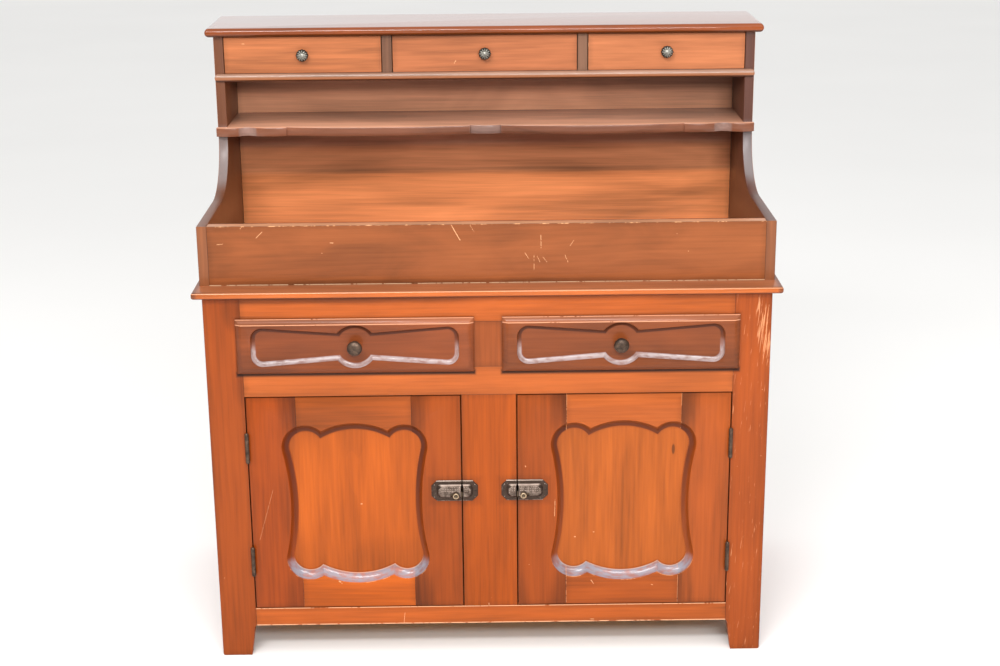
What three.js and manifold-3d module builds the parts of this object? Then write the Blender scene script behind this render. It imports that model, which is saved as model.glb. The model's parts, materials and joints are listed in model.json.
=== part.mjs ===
// Dry sink cabinet: a base with two doors and two lipped drawers, an open trough on its worktop,
// and an upper part with a scalloped shelf and three small drawers.
// Millimetres. X runs to the right, the front faces -Y, Z is up.
// The origin is on the floor, in the middle of the width and of the whole depth, knobs included.

import * as THREE from 'three';
import { mergeVertices } from 'three/addons/utils/BufferGeometryUtils.js';
import Module from 'manifold-3d';

const wasm = await Module();
wasm.setup();

// Driving sizes of the whole
const carcaseWidth = 1080;
const carcaseDepth = 560;
const worktopHeight = 763;
const upperHeight = 445;

// Clearances, and the one overrun that every cut uses
const fitGap = 0.3;
const doorGap = 2;
const smallDrawerGap = 1.5;
const cutOver = 2;

// Worktop
const worktopThickness = 13;
const worktopOverhang = 18;
const worktopEdgeRadius = 4.5;

// Face frame of the base; the doors' opening takes the height that is left
const frameThickness = 20;
const stileWidth = 70;
const centreStileWidth = 106;
const muntinWidth = 74;
const legHeight = 65;
const bottomRailWidth = 38;
const middleRailWidth = 57;
const drawerOpeningHeight = 90;
const topRailWidth = 53;
const legShoulder = 5;
const legCurveHeight = 14;
const footTaper = 7;
const footRound = 4;

// Base carcase behind the frame
const sideThickness = 19;
const backThickness = 12;
const backInset = 5;
const floorThickness = 14;
const dustBoardThickness = 10;
const guideHeight = 16;
const sideFootDepth = 64;
const sideArchRise = 58;

// Upper part, wider than the base by its reach on each side
const upperReach = 8.5;
const sideBoardThickness = 19;
const troughSetback = 34;
const rimHeight = 116;
const troughFrontThickness = 22;
const housingDepth = 3;
const upperDepth = 186;
const sweepDepth = 128;
const sweepHeight = 106;
const dadoDepth = 6;

// Top board and drawer deck, both with a rounded nose
const topBoardThickness = 18;
const topBoardOverhang = 15;
const topBoardBack = 8;
const topBoardNose = 8;
const deckThickness = 16;
const deckProjection = 8;
const deckNose = 6;
const smallOpeningHeight = 75;

// Scalloped shelf; its long curves take the length that is left
const shelfThickness = 18;
const shelfAboveSweep = 3;
const shelfProjection = 11;
const shelfEar = 2;
const centreLobeWidth = 63;
const centreLobeRise = 6;
const longCurveRise = 15;
const outerLobeWidth = 62;
const outerLobeRise = 5;
const coveWidth = 35;
const coveRise = 7;
const endLobeWidth = 46;
const endLobeRise = 5;
const notchStep = 4;

// Small drawers
const middleOpeningWidth = 377;
const dividerThickness = 20;
const smallFrontThickness = 18;
const smallBoxWall = 9;
const smallBoxDrop = 17;
const smallBoxRearGap = 9;
const smallBoxBottom = 5;
const smallKnobRadius = 13;
const smallKnobReach = 19;

// Large drawers, with a lip that laps over the frame
const lipOverlap = 10;
const lipProud = 10;
const lipEdge = 3.5;
const lipBevel = 11;
const largeFrontInner = 10;
const largeBoxWall = 12;
const largeBoxDrop = 14;
const largeBoxRearGap = 47;
const largeBoxBottom = 6;
const largeBoxSideGap = 3;
const largeKnobRadius = 14.5;
const largeKnobReach = 27;

// Bow-tie recess in the large drawer fronts
const recessEndMargin = 28.5;
const recessSideMargin = 16.5;
const recessCornerRadius = 22;
const recessWaistRadius = 24.5;
const recessRoundRadius = 43;
const recessCove = 11;
const recessDepth = 9;

// Doors
const doorThickness = 24;
const doorStileWidth = 95;
const doorTopRailWidth = 96;
const doorBottomRailWidth = 92;
const panelThickness = 5;
const panelLip = 3;
const panelInGroove = 8;

// Scalloped opening of the doors: four round lobes, a crown between each pair and bowed sides
const lobeInset = 110.5;
const topLobeRadius = 45.5;
const topLobeDrop = 103.4;
const topCuspRise = 33;
const topCrownRiseShare = 0.247;
const bottomLobeRadius = 45;
const bottomLobeLift = 103.9;
const bottomCuspDrop = 36.4;
const bottomCrownRiseShare = 0.237;
const sideCurveRadius = 500;
const doorCove = 13;
const doorCoveDepth = 14;
const coveHollowShare = 0.6;
const coveTallShare = 0.3;

// Butt hinges
const hingeLength = 57;
const upperHingeDrop = 102;
const lowerHingeLift = 101;
const leafThickness = 0.7;
const leafDepth = 17;
const knuckleRadius = 4;
const knuckleGap = 0.4;
const pinRadius = 1.9;
const pinTipRadius = 3.4;

// Cupboard latches
const latchRise = 25.5;
const latchHeight = 43;
const caseLength = 59;
const keeperLength = 30;
const plateThickness = 2.2;
const plateChamfer = 11;
const hoodHeight = 29;
const hoodProud = 8.5;
const hoodMargin = 10;
const hoodChamfer = 7;
const boltLength = 34;
const boltHeight = 11;
const boltThickness = 4;
const boltBase = 1.2;
const boltTravel = 8;
const boltDrop = 7;
const boltStemRadius = 3;
const boltKnobRadius = 6.5;
const boltKnobReach = 11;
const boltKnobBack = 11;

// Knob profiles from the seat to the face, as shares of the radius and of the reach
const knobShares = [
  [0.62, 0], [0.62, 0.1], [0.4, 0.28], [0.4, 0.52], [0.93, 0.62], [1, 0.72], [0.94, 0.84], [0.66, 1],
];
const boltKnobShares = [[1, 0.8], [0.7, 1]];

// Facets along round stretches
const cornerSteps = 4;
const lobeSteps = 9;
const sweepSteps = 14;
const turnedSides = 20;
const pinSides = 12;

// Finishes
const warmWood = { color: 0xb4501f, roughness: 0.36, metalness: 0 };
const panelWood = { color: 0xc96a2b, roughness: 0.34, metalness: 0 };
const brownWood = { color: 0x9a4b28, roughness: 0.4, metalness: 0 };
const insideWood = { color: 0xb48a5c, roughness: 0.7, metalness: 0 };
const bronze = { color: 0x5a4a3c, roughness: 0.42, metalness: 0.85 };
const pewter = { color: 0x6b6660, roughness: 0.45, metalness: 0.85 };
const oldBrass = { color: 0x9c8452, roughness: 0.38, metalness: 0.9 };

// Places across the width
const halfWidth = carcaseWidth / 2;
const insideBase = halfWidth - sideThickness;
const openingEdge = halfWidth - stileWidth;
const halfCentre = centreStileWidth / 2;
const halfMuntin = muntinWidth / 2;
const halfUpper = halfWidth + upperReach;
const insideUpper = halfUpper - sideBoardThickness;
const dadoFloor = insideUpper + dadoDepth;
const latchEdge = halfCentre + doorGap;
const hingeEdge = openingEdge - doorGap;
const doorMiddle = (latchEdge + hingeEdge) / 2;
const lobeReach = (hingeEdge - latchEdge) / 2 - lobeInset;

// Places along the depth
const knobForward = lipProud - recessDepth + largeKnobReach;
const front = (knobForward - carcaseDepth - topBoardBack) / 2;
const rear = front + carcaseDepth;
const behindFrame = front + frameThickness;
const backFront = rear - backInset - backThickness;
const troughFront = front + troughSetback;
const upperFront = rear - upperDepth;

// Heights
const worktopUnder = worktopHeight - worktopThickness;
const troughSeat = worktopHeight - housingDepth;
const railTop = legHeight + bottomRailWidth;
const drawerTop = worktopUnder - topRailWidth;
const drawerFloor = drawerTop - drawerOpeningHeight;
const doorOpeningTop = drawerFloor - middleRailWidth;
const doorBottom = railTop + doorGap;
const doorTop = doorOpeningTop - doorGap;
const latchZ = (doorBottom + doorTop) / 2 + latchRise;
const rimTop = worktopHeight + rimHeight;
const sweepTop = rimTop + sweepHeight;
const shelfUnder = sweepTop + shelfAboveSweep;
const shelfTop = shelfUnder + shelfThickness;
const cabinetHeight = worktopHeight + upperHeight;
const topBoardUnder = cabinetHeight - topBoardThickness;
const deckTop = topBoardUnder - smallOpeningHeight;
const deckUnder = deckTop - deckThickness;

const cabinet = new THREE.Group();
const quarterTurn = Math.PI / 2;
const halfTurn = Math.PI;
const fullTurn = 2 * Math.PI;

// Solids and meshes

function solid(geometry) {
  const bare = geometry.index ? geometry.toNonIndexed() : geometry.clone();
  bare.deleteAttribute('normal');
  bare.deleteAttribute('uv');
  const merged = mergeVertices(bare);
  const corners = merged.index.array;
  const faces = [];
  for (let i = 0; i < corners.length; i += 3) {
    const [a, b, c] = corners.slice(i, i + 3);
    if (a !== b && b !== c && c !== a) faces.push([a, b, c]);
  }
  const made = (list) => new wasm.Manifold(new wasm.Mesh({
    numProp: 3,
    vertProperties: merged.attributes.position.array,
    triVerts: new Uint32Array(list.flat()),
  }));
  const body = made(faces);
  return body.volume() > 0 ? body : made(faces.map(([a, b, c]) => [a, c, b]));
}

function add(name, body, finish) {
  const { vertProperties, triVerts } = body.getMesh();
  const geometry = new THREE.BufferGeometry();
  geometry.setAttribute('position', new THREE.BufferAttribute(new Float32Array(vertProperties), 3));
  geometry.setIndex(new THREE.BufferAttribute(new Uint32Array(triVerts), 1));
  const faceted = geometry.toNonIndexed();
  faceted.computeVertexNormals();
  const mesh = new THREE.Mesh(faceted, new THREE.MeshStandardMaterial(finish));
  mesh.name = name;
  cabinet.add(mesh);
}

// A box between two opposite corners
function box([x0, y0, z0], [x1, y1, z1]) {
  const geometry = new THREE.BoxGeometry(Math.abs(x1 - x0), Math.abs(y1 - y0), Math.abs(z1 - z0));
  geometry.translate((x0 + x1) / 2, (y0 + y1) / 2, (z0 + z1) / 2);
  return solid(geometry);
}

// An upright cylinder
function post(radius, [x, y], z0, z1, sides) {
  const geometry = new THREE.CylinderGeometry(radius, radius, z1 - z0, sides);
  geometry.rotateX(quarterTurn);
  geometry.translate(x, y, (z0 + z1) / 2);
  return solid(geometry);
}

// A turned solid that points forward; its profile gives radius and distance forward of its seat
function turned(profile, [x, y, z]) {
  const geometry = new THREE.LatheGeometry(profile.map(([r, d]) => new THREE.Vector2(r, d)), turnedSides);
  geometry.rotateX(halfTurn);
  geometry.translate(x, y, z);
  return solid(geometry);
}

// The two axes that a flat ring of points spreads along
function spreadAxes(ring) {
  const reach = [0, 1, 2].map((axis) => {
    const values = ring.map((point) => point[axis]);
    return Math.max(...values) - Math.min(...values);
  });
  const thin = reach.indexOf(Math.min(...reach));
  return [0, 1, 2].filter((axis) => axis !== thin);
}

// The flat end over a ring, its faces running with the ring or against it
function ringEnd(ring, along) {
  const [u, v] = spreadAxes(ring);
  const flat = ring.map((point) => new THREE.Vector2(point[u], point[v]));
  const sense = Math.sign(THREE.ShapeUtils.area(flat));
  return THREE.ShapeUtils.triangulateShape(flat, []).flatMap(([a, b, c]) => {
    const turn = Math.sign(THREE.ShapeUtils.area([flat[a], flat[b], flat[c]]));
    return (turn === sense) === along ? [ring[a], ring[b], ring[c]] : [ring[a], ring[c], ring[b]];
  });
}

// A closed skin through flat rings of equally many points
function loft(rings) {
  const skin = rings.slice(1).flatMap((ring, k) => {
    const last = rings[k];
    return ring.flatMap((point, i) => {
      const j = (i + 1) % ring.length;
      return [last[i], last[j], ring[j], last[i], ring[j], point];
    });
  });
  const corners = [...skin, ...ringEnd(rings[0], false), ...ringEnd(rings[rings.length - 1], true)];
  const geometry = new THREE.BufferGeometry();
  geometry.setAttribute('position', new THREE.Float32BufferAttribute(corners.flat(), 3));
  return solid(geometry);
}

// Plates: an outline drawn straight along the axis that it doesn't use
const plateXZ = (outline, y0, y1) => loft([y0, y1].map((y) => outline.map(([x, z]) => [x, y, z])));
const plateYZ = (outline, x0, x1) => loft([x0, x1].map((x) => outline.map(([y, z]) => [x, y, z])));
const plateXY = (outline, z0, z1) => loft([z0, z1].map((z) => outline.map(([x, y]) => [x, y, z])));

// Points of an elliptic arc, both ends included
function arc([cx, cy], rx, ry, from, to, steps) {
  return Array.from({ length: steps + 1 }, (_, i) => {
    const angle = from + (to - from) * i / steps;
    return [cx + rx * Math.cos(angle), cy + ry * Math.sin(angle)];
  });
}

const round = (centre, radius, from, to, steps) => arc(centre, radius, radius, from, to, steps);

// Where two circles meet, on the left of the line from the first centre to the second for side 1
function meeting([x1, y1], r1, [x2, y2], r2, side) {
  const apart = Math.hypot(x2 - x1, y2 - y1);
  const along = (apart ** 2 + r1 ** 2 - r2 ** 2) / (2 * apart);
  const off = side * Math.sqrt(r1 ** 2 - along ** 2);
  const ux = (x2 - x1) / apart;
  const uy = (y2 - y1) / apart;
  return [x1 + along * ux - off * uy, y1 + along * uy + off * ux];
}

const bearing = ([x, y], [cx, cy]) => Math.atan2(y - cy, x - cx);

// The band round circles listed anticlockwise, every radius grown alike
function roundHull(circles, grow) {
  const count = circles.length;
  const leaving = circles.map(({ at: [x, y], radius }, i) => {
    const next = circles[(i + 1) % count];
    const [dx, dy] = [next.at[0] - x, next.at[1] - y];
    return Math.atan2(dy, dx) - Math.acos((radius - next.radius) / Math.hypot(dx, dy));
  });
  return circles.flatMap(({ at, radius }, i) => {
    const from = leaving[(i + count - 1) % count];
    const turn = (leaving[i] - from + 2 * fullTurn) % fullTurn;
    return round(at, radius + grow, from, from + turn, cornerSteps + 2);
  });
}

// Base: face frame

function stile(side) {
  const shoulder = openingEdge + legShoulder;
  const outline = [
    [openingEdge, worktopUnder],
    ...arc([openingEdge, legHeight - legCurveHeight], legShoulder, legCurveHeight, quarterTurn, 0,
      cornerSteps),
    [shoulder + footTaper, 0],
    ...round([halfWidth - footRound, footRound], footRound, -quarterTurn, 0, cornerSteps),
    [halfWidth, worktopUnder],
  ];
  return plateXZ(outline.map(([x, z]) => [side * x, z]), front, behindFrame);
}

function addFaceFrame() {
  const member = (name, halfLength, z0, z1) =>
    add(name, box([-halfLength, front, z0], [halfLength, behindFrame, z1]), warmWood);
  add('left_stile', stile(-1), warmWood);
  add('right_stile', stile(1), warmWood);
  member('bottom_rail', openingEdge, legHeight, railTop);
  member('centre_stile', halfCentre, railTop, doorOpeningTop);
  member('middle_rail', openingEdge, doorOpeningTop, drawerFloor);
  member('drawer_muntin', halfMuntin, drawerFloor, drawerTop);
  member('top_rail', openingEdge, drawerTop, worktopUnder);
}

// Base: sides, floor, dust board, back and worktop

function sidePanel(side) {
  const frontFoot = behindFrame + sideFootDepth;
  const rearFoot = rear - sideFootDepth;
  const middle = [(frontFoot + rearFoot) / 2, 0];
  const outline = [
    [behindFrame, worktopUnder], [behindFrame, 0],
    ...arc(middle, (rearFoot - frontFoot) / 2, sideArchRise, halfTurn, 0, sweepSteps),
    [rear, 0], [rear, worktopUnder],
  ];
  return plateYZ(outline, side * insideBase, side * halfWidth);
}

function dustBoard() {
  const under = drawerFloor - dustBoardThickness;
  const guide = (x0, x1) => box([x0, behindFrame, under], [x1, backFront, drawerFloor + guideHeight]);
  return box([-insideBase, behindFrame, under], [insideBase, backFront, drawerFloor])
    .add(guide(-insideBase, -openingEdge))
    .add(guide(-halfMuntin, halfMuntin))
    .add(guide(openingEdge, insideBase));
}

// One board closes the base and the upper part; it is wider from the worktop up
function backBoard() {
  const right = [
    [insideBase, legHeight], [insideBase, worktopUnder],
    [insideUpper, worktopUnder], [insideUpper, topBoardUnder],
  ];
  const left = right.map(([x, z]) => [-x, z]).reverse();
  return plateXZ([...right, ...left], backFront, backFront + backThickness);
}

// Levels of a board with a rounded nose: how far each is drawn back, and its height. Where the
// two quarter rounds meet, their shared level is merged with the rest of the skin.
function nosedLevels(z0, z1, nose, rise) {
  const lower = arc([0, z0 + rise], nose, rise, -quarterTurn, 0, cornerSteps);
  const upper = arc([0, z1 - rise], nose, rise, 0, quarterTurn, cornerSteps);
  return [...lower, ...upper].map(([reach, z]) => [nose - reach, z]);
}

// A board nosed along its front and both ends
function nosedBoard(halfLength, y0, y1, levels) {
  return loft(levels.map(([draw, z]) => {
    const end = halfLength - draw;
    return [[-end, y0 + draw, z], [end, y0 + draw, z], [end, y1, z], [-end, y1, z]];
  }));
}

// Notched for the back board, with shallow housings that the trough's three boards stand in
function worktop() {
  const levels = nosedLevels(worktopUnder, worktopHeight, worktopEdgeRadius, worktopEdgeRadius);
  const board = nosedBoard(halfWidth + worktopOverhang, front - worktopOverhang, rear, levels);
  const cut = (x0, x1, y0, y1, z0) => box([x0, y0, z0], [x1, y1, worktopHeight + cutOver]);
  return board
    .subtract(cut(-insideUpper, insideUpper, backFront, rear + cutOver, worktopUnder - cutOver))
    .subtract(cut(-insideUpper, insideUpper, troughFront, troughFront + troughFrontThickness, troughSeat))
    .subtract(cut(-halfUpper, -insideUpper, troughFront, rear + cutOver, troughSeat))
    .subtract(cut(insideUpper, halfUpper, troughFront, rear + cutOver, troughSeat));
}

function addBaseCarcase() {
  add('left_side_panel', sidePanel(-1), warmWood);
  add('right_side_panel', sidePanel(1), warmWood);
  add('cupboard_floor', box([-insideBase, behindFrame, railTop - floorThickness],
    [insideBase, backFront, railTop]), insideWood);
  add('dust_board', dustBoard(), insideWood);
  add('back_board', backBoard(), brownWood);
  add('worktop', worktop(), warmWood);
}

// Upper part: trough, sides, shelf, deck, dividers and top

function sideBoard(side) {
  const outline = [
    [troughFront, rimTop], [troughFront, troughSeat], [rear, troughSeat], [rear, topBoardUnder],
    [upperFront, topBoardUnder],
    ...arc([upperFront - sweepDepth, sweepTop], sweepDepth, sweepHeight, 0, -quarterTurn, sweepSteps),
  ];
  const dado = (z0, z1) => box([side * (insideUpper - cutOver), upperFront - cutOver, z0],
    [side * dadoFloor, backFront, z1]);
  return plateYZ(outline, side * insideUpper, side * halfUpper)
    .subtract(dado(shelfUnder, shelfTop))
    .subtract(dado(deckUnder, deckTop));
}

// A bowed stretch of the shelf's edge between two places along it
function bow(x0, x1, y, rise) {
  const reach = (x1 - x0) / 2;
  const radius = (reach ** 2 + rise ** 2) / (2 * rise);
  const swing = Math.asin(reach / radius);
  const centre = [(x0 + x1) / 2, y + radius - rise];
  return round(centre, radius, -quarterTurn - swing, swing - quarterTurn, lobeSteps);
}

function scallopedShelf() {
  const base = upperFront - shelfProjection;
  const end = halfUpper + shelfEar;
  const coveStart = end - endLobeWidth - coveWidth;
  const outerStart = coveStart - outerLobeWidth;
  const tongue = dadoFloor - fitGap;
  const right = [
    ...bow(centreLobeWidth / 2, outerStart, base + notchStep, longCurveRise),
    ...bow(outerStart, coveStart, base, outerLobeRise),
    ...bow(coveStart, coveStart + coveWidth, base, -coveRise).slice(1),
    ...bow(coveStart + coveWidth, end, base, endLobeRise).slice(1),
    [end, upperFront], [tongue, upperFront], [tongue, backFront],
  ];
  const left = right.map(([x, y]) => [-x, y]).reverse();
  const middle = bow(-centreLobeWidth / 2, centreLobeWidth / 2, base + 2 * notchStep, centreLobeRise);
  return plateXY([...left, ...middle, ...right], shelfUnder, shelfTop);
}

// The deck's nose laps over the front edges of the side boards
function drawerDeck() {
  const tongue = dadoFloor - fitGap;
  return loft(nosedLevels(deckUnder, deckTop, deckNose, deckThickness / 2).map(([draw, z]) => {
    const end = halfUpper - draw;
    const nose = upperFront - deckProjection + draw;
    const right = [[end, nose], [end, upperFront], [tongue, upperFront], [tongue, backFront]];
    const left = right.map(([x, y]) => [-x, y]).reverse();
    return [...right, ...left].map(([x, y]) => [x, y, z]);
  }));
}

function addUpperPart() {
  add('left_side_board', sideBoard(-1), brownWood);
  add('right_side_board', sideBoard(1), brownWood);
  add('trough_front', box([-insideUpper, troughFront, troughSeat],
    [insideUpper, troughFront + troughFrontThickness, rimTop]), brownWood);
  add('scalloped_shelf', scallopedShelf(), brownWood);
  add('drawer_deck', drawerDeck(), brownWood);
  const divider = (inner, outer) => box([inner, upperFront, deckTop], [outer, backFront, topBoardUnder]);
  const inner = middleOpeningWidth / 2;
  add('left_divider', divider(-inner - dividerThickness, -inner), brownWood);
  add('right_divider', divider(inner, inner + dividerThickness), brownWood);
  const levels = nosedLevels(topBoardUnder, cabinetHeight, topBoardNose, topBoardThickness / 2);
  add('top_board', nosedBoard(halfUpper + topBoardOverhang, upperFront - topBoardOverhang,
    rear + topBoardBack, levels), brownWood);
}

// Drawers

// A box open at the top, and at the front where the drawer front closes it
function drawerBox([x0, y0, z0], [x1, y1, z1], wall, bottom) {
  const hollow = box([x0 + wall, y0 - cutOver, z0 + bottom], [x1 - wall, y1 - wall, z1 + cutOver]);
  return box([x0, y0, z0], [x1, y1, z1]).subtract(hollow);
}

function knob(radius, reach, seat) {
  const profile = knobShares.map(([across, along]) => [across * radius, along * reach]);
  return turned([[0, 0], ...profile, [0, reach]], seat);
}

function addSmallDrawer(name, x0, x1) {
  const [left, right] = [x0 + smallDrawerGap, x1 - smallDrawerGap];
  const bottom = deckTop + fitGap;
  const behindFront = upperFront + smallFrontThickness;
  add(name + '_front', box([left, upperFront, bottom],
    [right, behindFront, topBoardUnder - smallDrawerGap]), brownWood);
  const boxEnd = [right, backFront - smallBoxRearGap, topBoardUnder - smallBoxDrop];
  add(name + '_box', drawerBox([left, behindFront, bottom], boxEnd, smallBoxWall, smallBoxBottom),
    insideWood);
  add(name + '_knob', knob(smallKnobRadius, smallKnobReach,
    [(x0 + x1) / 2, upperFront, (deckTop + topBoardUnder) / 2]), pewter);
}

// Cutter for the recess: two flared wings and a round middle, coved down to a flat floor
function recessCutter(halfLength, halfHeight, [x, y, z]) {
  const cove = arc([0, 0], recessCove, recessDepth, 0, quarterTurn, cornerSteps);
  const levels = [[recessCove, -cutOver], ...cove].map(([out, depth]) => [out - recessCove, depth]);
  const cut = (outline) => loft(levels.map(([grow, depth]) =>
    outline(grow).map(([across, up]) => [x + across, y + depth, z + up])));
  const end = halfLength - recessCornerRadius;
  const corner = halfHeight - recessCornerRadius;
  const wing = (grow) => roundHull([
    { at: [0, 0], radius: recessWaistRadius },
    { at: [end, -corner], radius: recessCornerRadius },
    { at: [end, corner], radius: recessCornerRadius },
  ], grow);
  const middle = (grow) => round([0, 0], recessRoundRadius + grow, 0, fullTurn, 2 * sweepSteps).slice(1);
  return cut(wing)
    .add(cut((grow) => wing(grow).map(([across, up]) => [-across, up])))
    .add(cut(middle));
}

function largeDrawerFront(x0, x1) {
  const face = front - lipProud;
  const [left, right] = [x0 - lipOverlap, x1 + lipOverlap];
  const [low, high] = [drawerFloor - lipOverlap, drawerTop + lipOverlap];
  const ring = (y, draw) => [
    [left + draw, y, low + draw], [right - draw, y, low + draw],
    [right - draw, y, high - draw], [left + draw, y, high - draw],
  ];
  const plate = loft([ring(front, 0), ring(front - lipEdge, 0), ring(face, lipBevel)]);
  const inner = box([x0 + smallDrawerGap, front - lipEdge, drawerFloor + smallDrawerGap],
    [x1 - smallDrawerGap, front + largeFrontInner, drawerTop - smallDrawerGap]);
  const recess = recessCutter((right - left) / 2 - recessEndMargin, (high - low) / 2 - recessSideMargin,
    [(left + right) / 2, face, (low + high) / 2]);
  return plate.add(inner).subtract(recess);
}

function addLargeDrawer(name, x0, x1) {
  add(name + '_front', largeDrawerFront(x0, x1), warmWood);
  const boxStart = [x0 + largeBoxSideGap, front + largeFrontInner, drawerFloor + fitGap];
  const boxEnd = [x1 - largeBoxSideGap, backFront - largeBoxRearGap, drawerTop - largeBoxDrop];
  add(name + '_box', drawerBox(boxStart, boxEnd, largeBoxWall, largeBoxBottom), insideWood);
  add(name + '_knob', knob(largeKnobRadius, largeKnobReach,
    [(x0 + x1) / 2, front - lipProud + recessDepth, (drawerFloor + drawerTop) / 2]), bronze);
}

function addDrawers() {
  const nearEdge = middleOpeningWidth / 2;
  const farEdge = nearEdge + dividerThickness;
  addSmallDrawer('left_small_drawer', -insideUpper, -farEdge);
  addSmallDrawer('middle_small_drawer', -nearEdge, nearEdge);
  addSmallDrawer('right_small_drawer', farEdge, insideUpper);
  addLargeDrawer('left_large_drawer', -openingEdge, -halfMuntin);
  addLargeDrawer('right_large_drawer', halfMuntin, openingEdge);
}

// Doors

// The circles of the scalloped outline, about the door's middle
function openingCircles() {
  const topLobe = [lobeReach, doorTop - topLobeDrop];
  const bottomLobe = [lobeReach, doorBottom + bottomLobeLift];
  const crown = (lobeRadius, offCentre, riseShare) => {
    const reach = lobeReach - Math.sqrt(lobeRadius ** 2 - offCentre ** 2);
    const rise = riseShare * reach;
    return [rise, (reach ** 2 + rise ** 2) / (2 * rise)];
  };
  const [topRise, topRadius] = crown(topLobeRadius, topCuspRise, topCrownRiseShare);
  const [bottomRise, bottomRadius] = crown(bottomLobeRadius, bottomCuspDrop, bottomCrownRiseShare);
  const topPeak = topLobe[1] + topCuspRise + topRise;
  const bottomPeak = bottomLobe[1] - bottomCuspDrop - bottomRise;
  const bowed = meeting(bottomLobe, sideCurveRadius + bottomLobeRadius, topLobe,
    sideCurveRadius + topLobeRadius, -1);
  return {
    topLobe, bottomLobe, bowed, topRadius, bottomRadius, topPeak, bottomPeak,
    topCrown: [0, topPeak - topRadius], bottomCrown: [0, bottomPeak + bottomRadius],
  };
}

// The outline with every curve moved inwards alike, and drawn in a little more at top and bottom
function openingOutline(inset) {
  const circles = openingCircles();
  const { topLobe, bottomLobe, bowed, topCrown, bottomCrown, topRadius, bottomRadius } = circles;
  const grow = -inset;
  const middle = (circles.topPeak + circles.bottomPeak) / 2;
  const squeeze = 1 - 2 * coveTallShare * inset / (circles.topPeak - circles.bottomPeak);
  const topCusp = meeting(topCrown, topRadius + grow, topLobe, topLobeRadius + grow, 1);
  const bottomCusp = meeting(bottomCrown, bottomRadius + grow, bottomLobe, bottomLobeRadius + grow, -1);
  const right = [
    ...round(bottomCrown, bottomRadius + grow, -quarterTurn, bearing(bottomCusp, bottomCrown),
      cornerSteps + 1),
    ...round(bottomLobe, bottomLobeRadius + grow, bearing(bottomCusp, bottomLobe),
      bearing(bowed, bottomLobe), lobeSteps).slice(1),
    ...round(bowed, sideCurveRadius - grow, bearing(bottomLobe, bowed) + fullTurn,
      bearing(topLobe, bowed), lobeSteps).slice(1),
    ...round(topLobe, topLobeRadius + grow, bearing(bowed, topLobe), bearing(topCusp, topLobe),
      lobeSteps).slice(1),
    ...round(topCrown, topRadius + grow, bearing(topCusp, topCrown), quarterTurn,
      cornerSteps + 2).slice(1),
  ];
  const left = right.slice(1, -1).map(([x, z]) => [-x, z]).reverse();
  return [...right, ...left].map(([x, z]) => [x, middle + (z - middle) * squeeze]);
}

// Cutter for the opening: a slightly hollow cove from the face, then straight through
function openingCutter(middle) {
  const hollow = arc([0, 0], 1, 1, 0, quarterTurn, cornerSteps);
  const cove = hollow.map(([out, deep], i) => {
    const flat = i / cornerSteps;
    const blend = (curved, straight) => coveHollowShare * curved + (1 - coveHollowShare) * straight;
    return [doorCove * (1 - blend(out, 1 - flat)), doorCoveDepth * blend(deep, flat)];
  });
  const levels = [[0, -cutOver], ...cove, [doorCove, doorThickness + cutOver]];
  return loft(levels.map(([inset, depth]) =>
    openingOutline(inset).map(([x, z]) => [middle + x, front + depth, z])));
}

function addDoor(name, side) {
  const middle = side * doorMiddle;
  const back = front + doorThickness;
  const panelBack = back - panelLip;
  const { topPeak, bottomPeak } = openingCircles();
  const panelReach = lobeReach + Math.max(topLobeRadius, bottomLobeRadius) + panelInGroove;
  const panel = (spare) => box(
    [middle - panelReach - spare, panelBack - panelThickness, bottomPeak - panelInGroove - spare],
    [middle + panelReach + spare, panelBack, topPeak + panelInGroove + spare]);
  const cutter = openingCutter(middle).add(panel(fitGap));
  const member = (part, x0, x1, z0, z1) =>
    add(name + '_' + part, box([side * x0, front, z0], [side * x1, back, z1]).subtract(cutter), warmWood);
  const [hingeJoint, latchJoint] = [hingeEdge - doorStileWidth, latchEdge + doorStileWidth];
  member('hinge_stile', hingeJoint, hingeEdge, doorBottom, doorTop);
  member('latch_stile', latchEdge, latchJoint, doorBottom, doorTop);
  member('top_rail', latchJoint, hingeJoint, doorTop - doorTopRailWidth, doorTop);
  member('bottom_rail', latchJoint, hingeJoint, doorBottom, doorBottom + doorBottomRailWidth);
  add(name + '_panel', panel(0), panelWood);
}

// Hinges: the pin stands in front of the face, midway in the gap beside the door

function addHinge(name, side, z) {
  const axis = [side * (openingEdge - doorGap / 2), front - knuckleRadius - knuckleGap];
  const [z0, z1] = [z - hingeLength / 2, z + hingeLength / 2];
  const [third0, third1] = [z0 + hingeLength / 3, z1 - hingeLength / 3];
  const leafAt = (x0, x1) => (y0, low, high) =>
    box([side * x0, y0, low], [side * x1, front + leafDepth, high]);
  const frameLeaf = leafAt(openingEdge - leafThickness, openingEdge);
  const doorLeaf = leafAt(hingeEdge, hingeEdge + leafThickness);
  const barrel = (leaf, low, high) =>
    leaf(axis[1], low, high).add(post(knuckleRadius, axis, low, high, turnedSides));
  const tip = (height) => {
    const ball = new THREE.SphereGeometry(pinTipRadius, pinSides, pinSides / 2);
    ball.rotateX(quarterTurn);
    ball.translate(...axis, height);
    return solid(ball);
  };
  add(name + '_frame_leaf', frameLeaf(front, z0, z1)
    .add(barrel(frameLeaf, z0, third0 - fitGap))
    .add(barrel(frameLeaf, third1 + fitGap, z1))
    .add(post(pinRadius, axis, z0, z1, pinSides))
    .add(tip(z0))
    .add(tip(z1)), bronze);
  add(name + '_door_leaf', doorLeaf(front, z0, z1)
    .add(barrel(doorLeaf, third0, third1))
    .subtract(post(pinRadius + fitGap, axis, z0, z1, pinSides)), bronze);
}

// Latches

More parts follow.
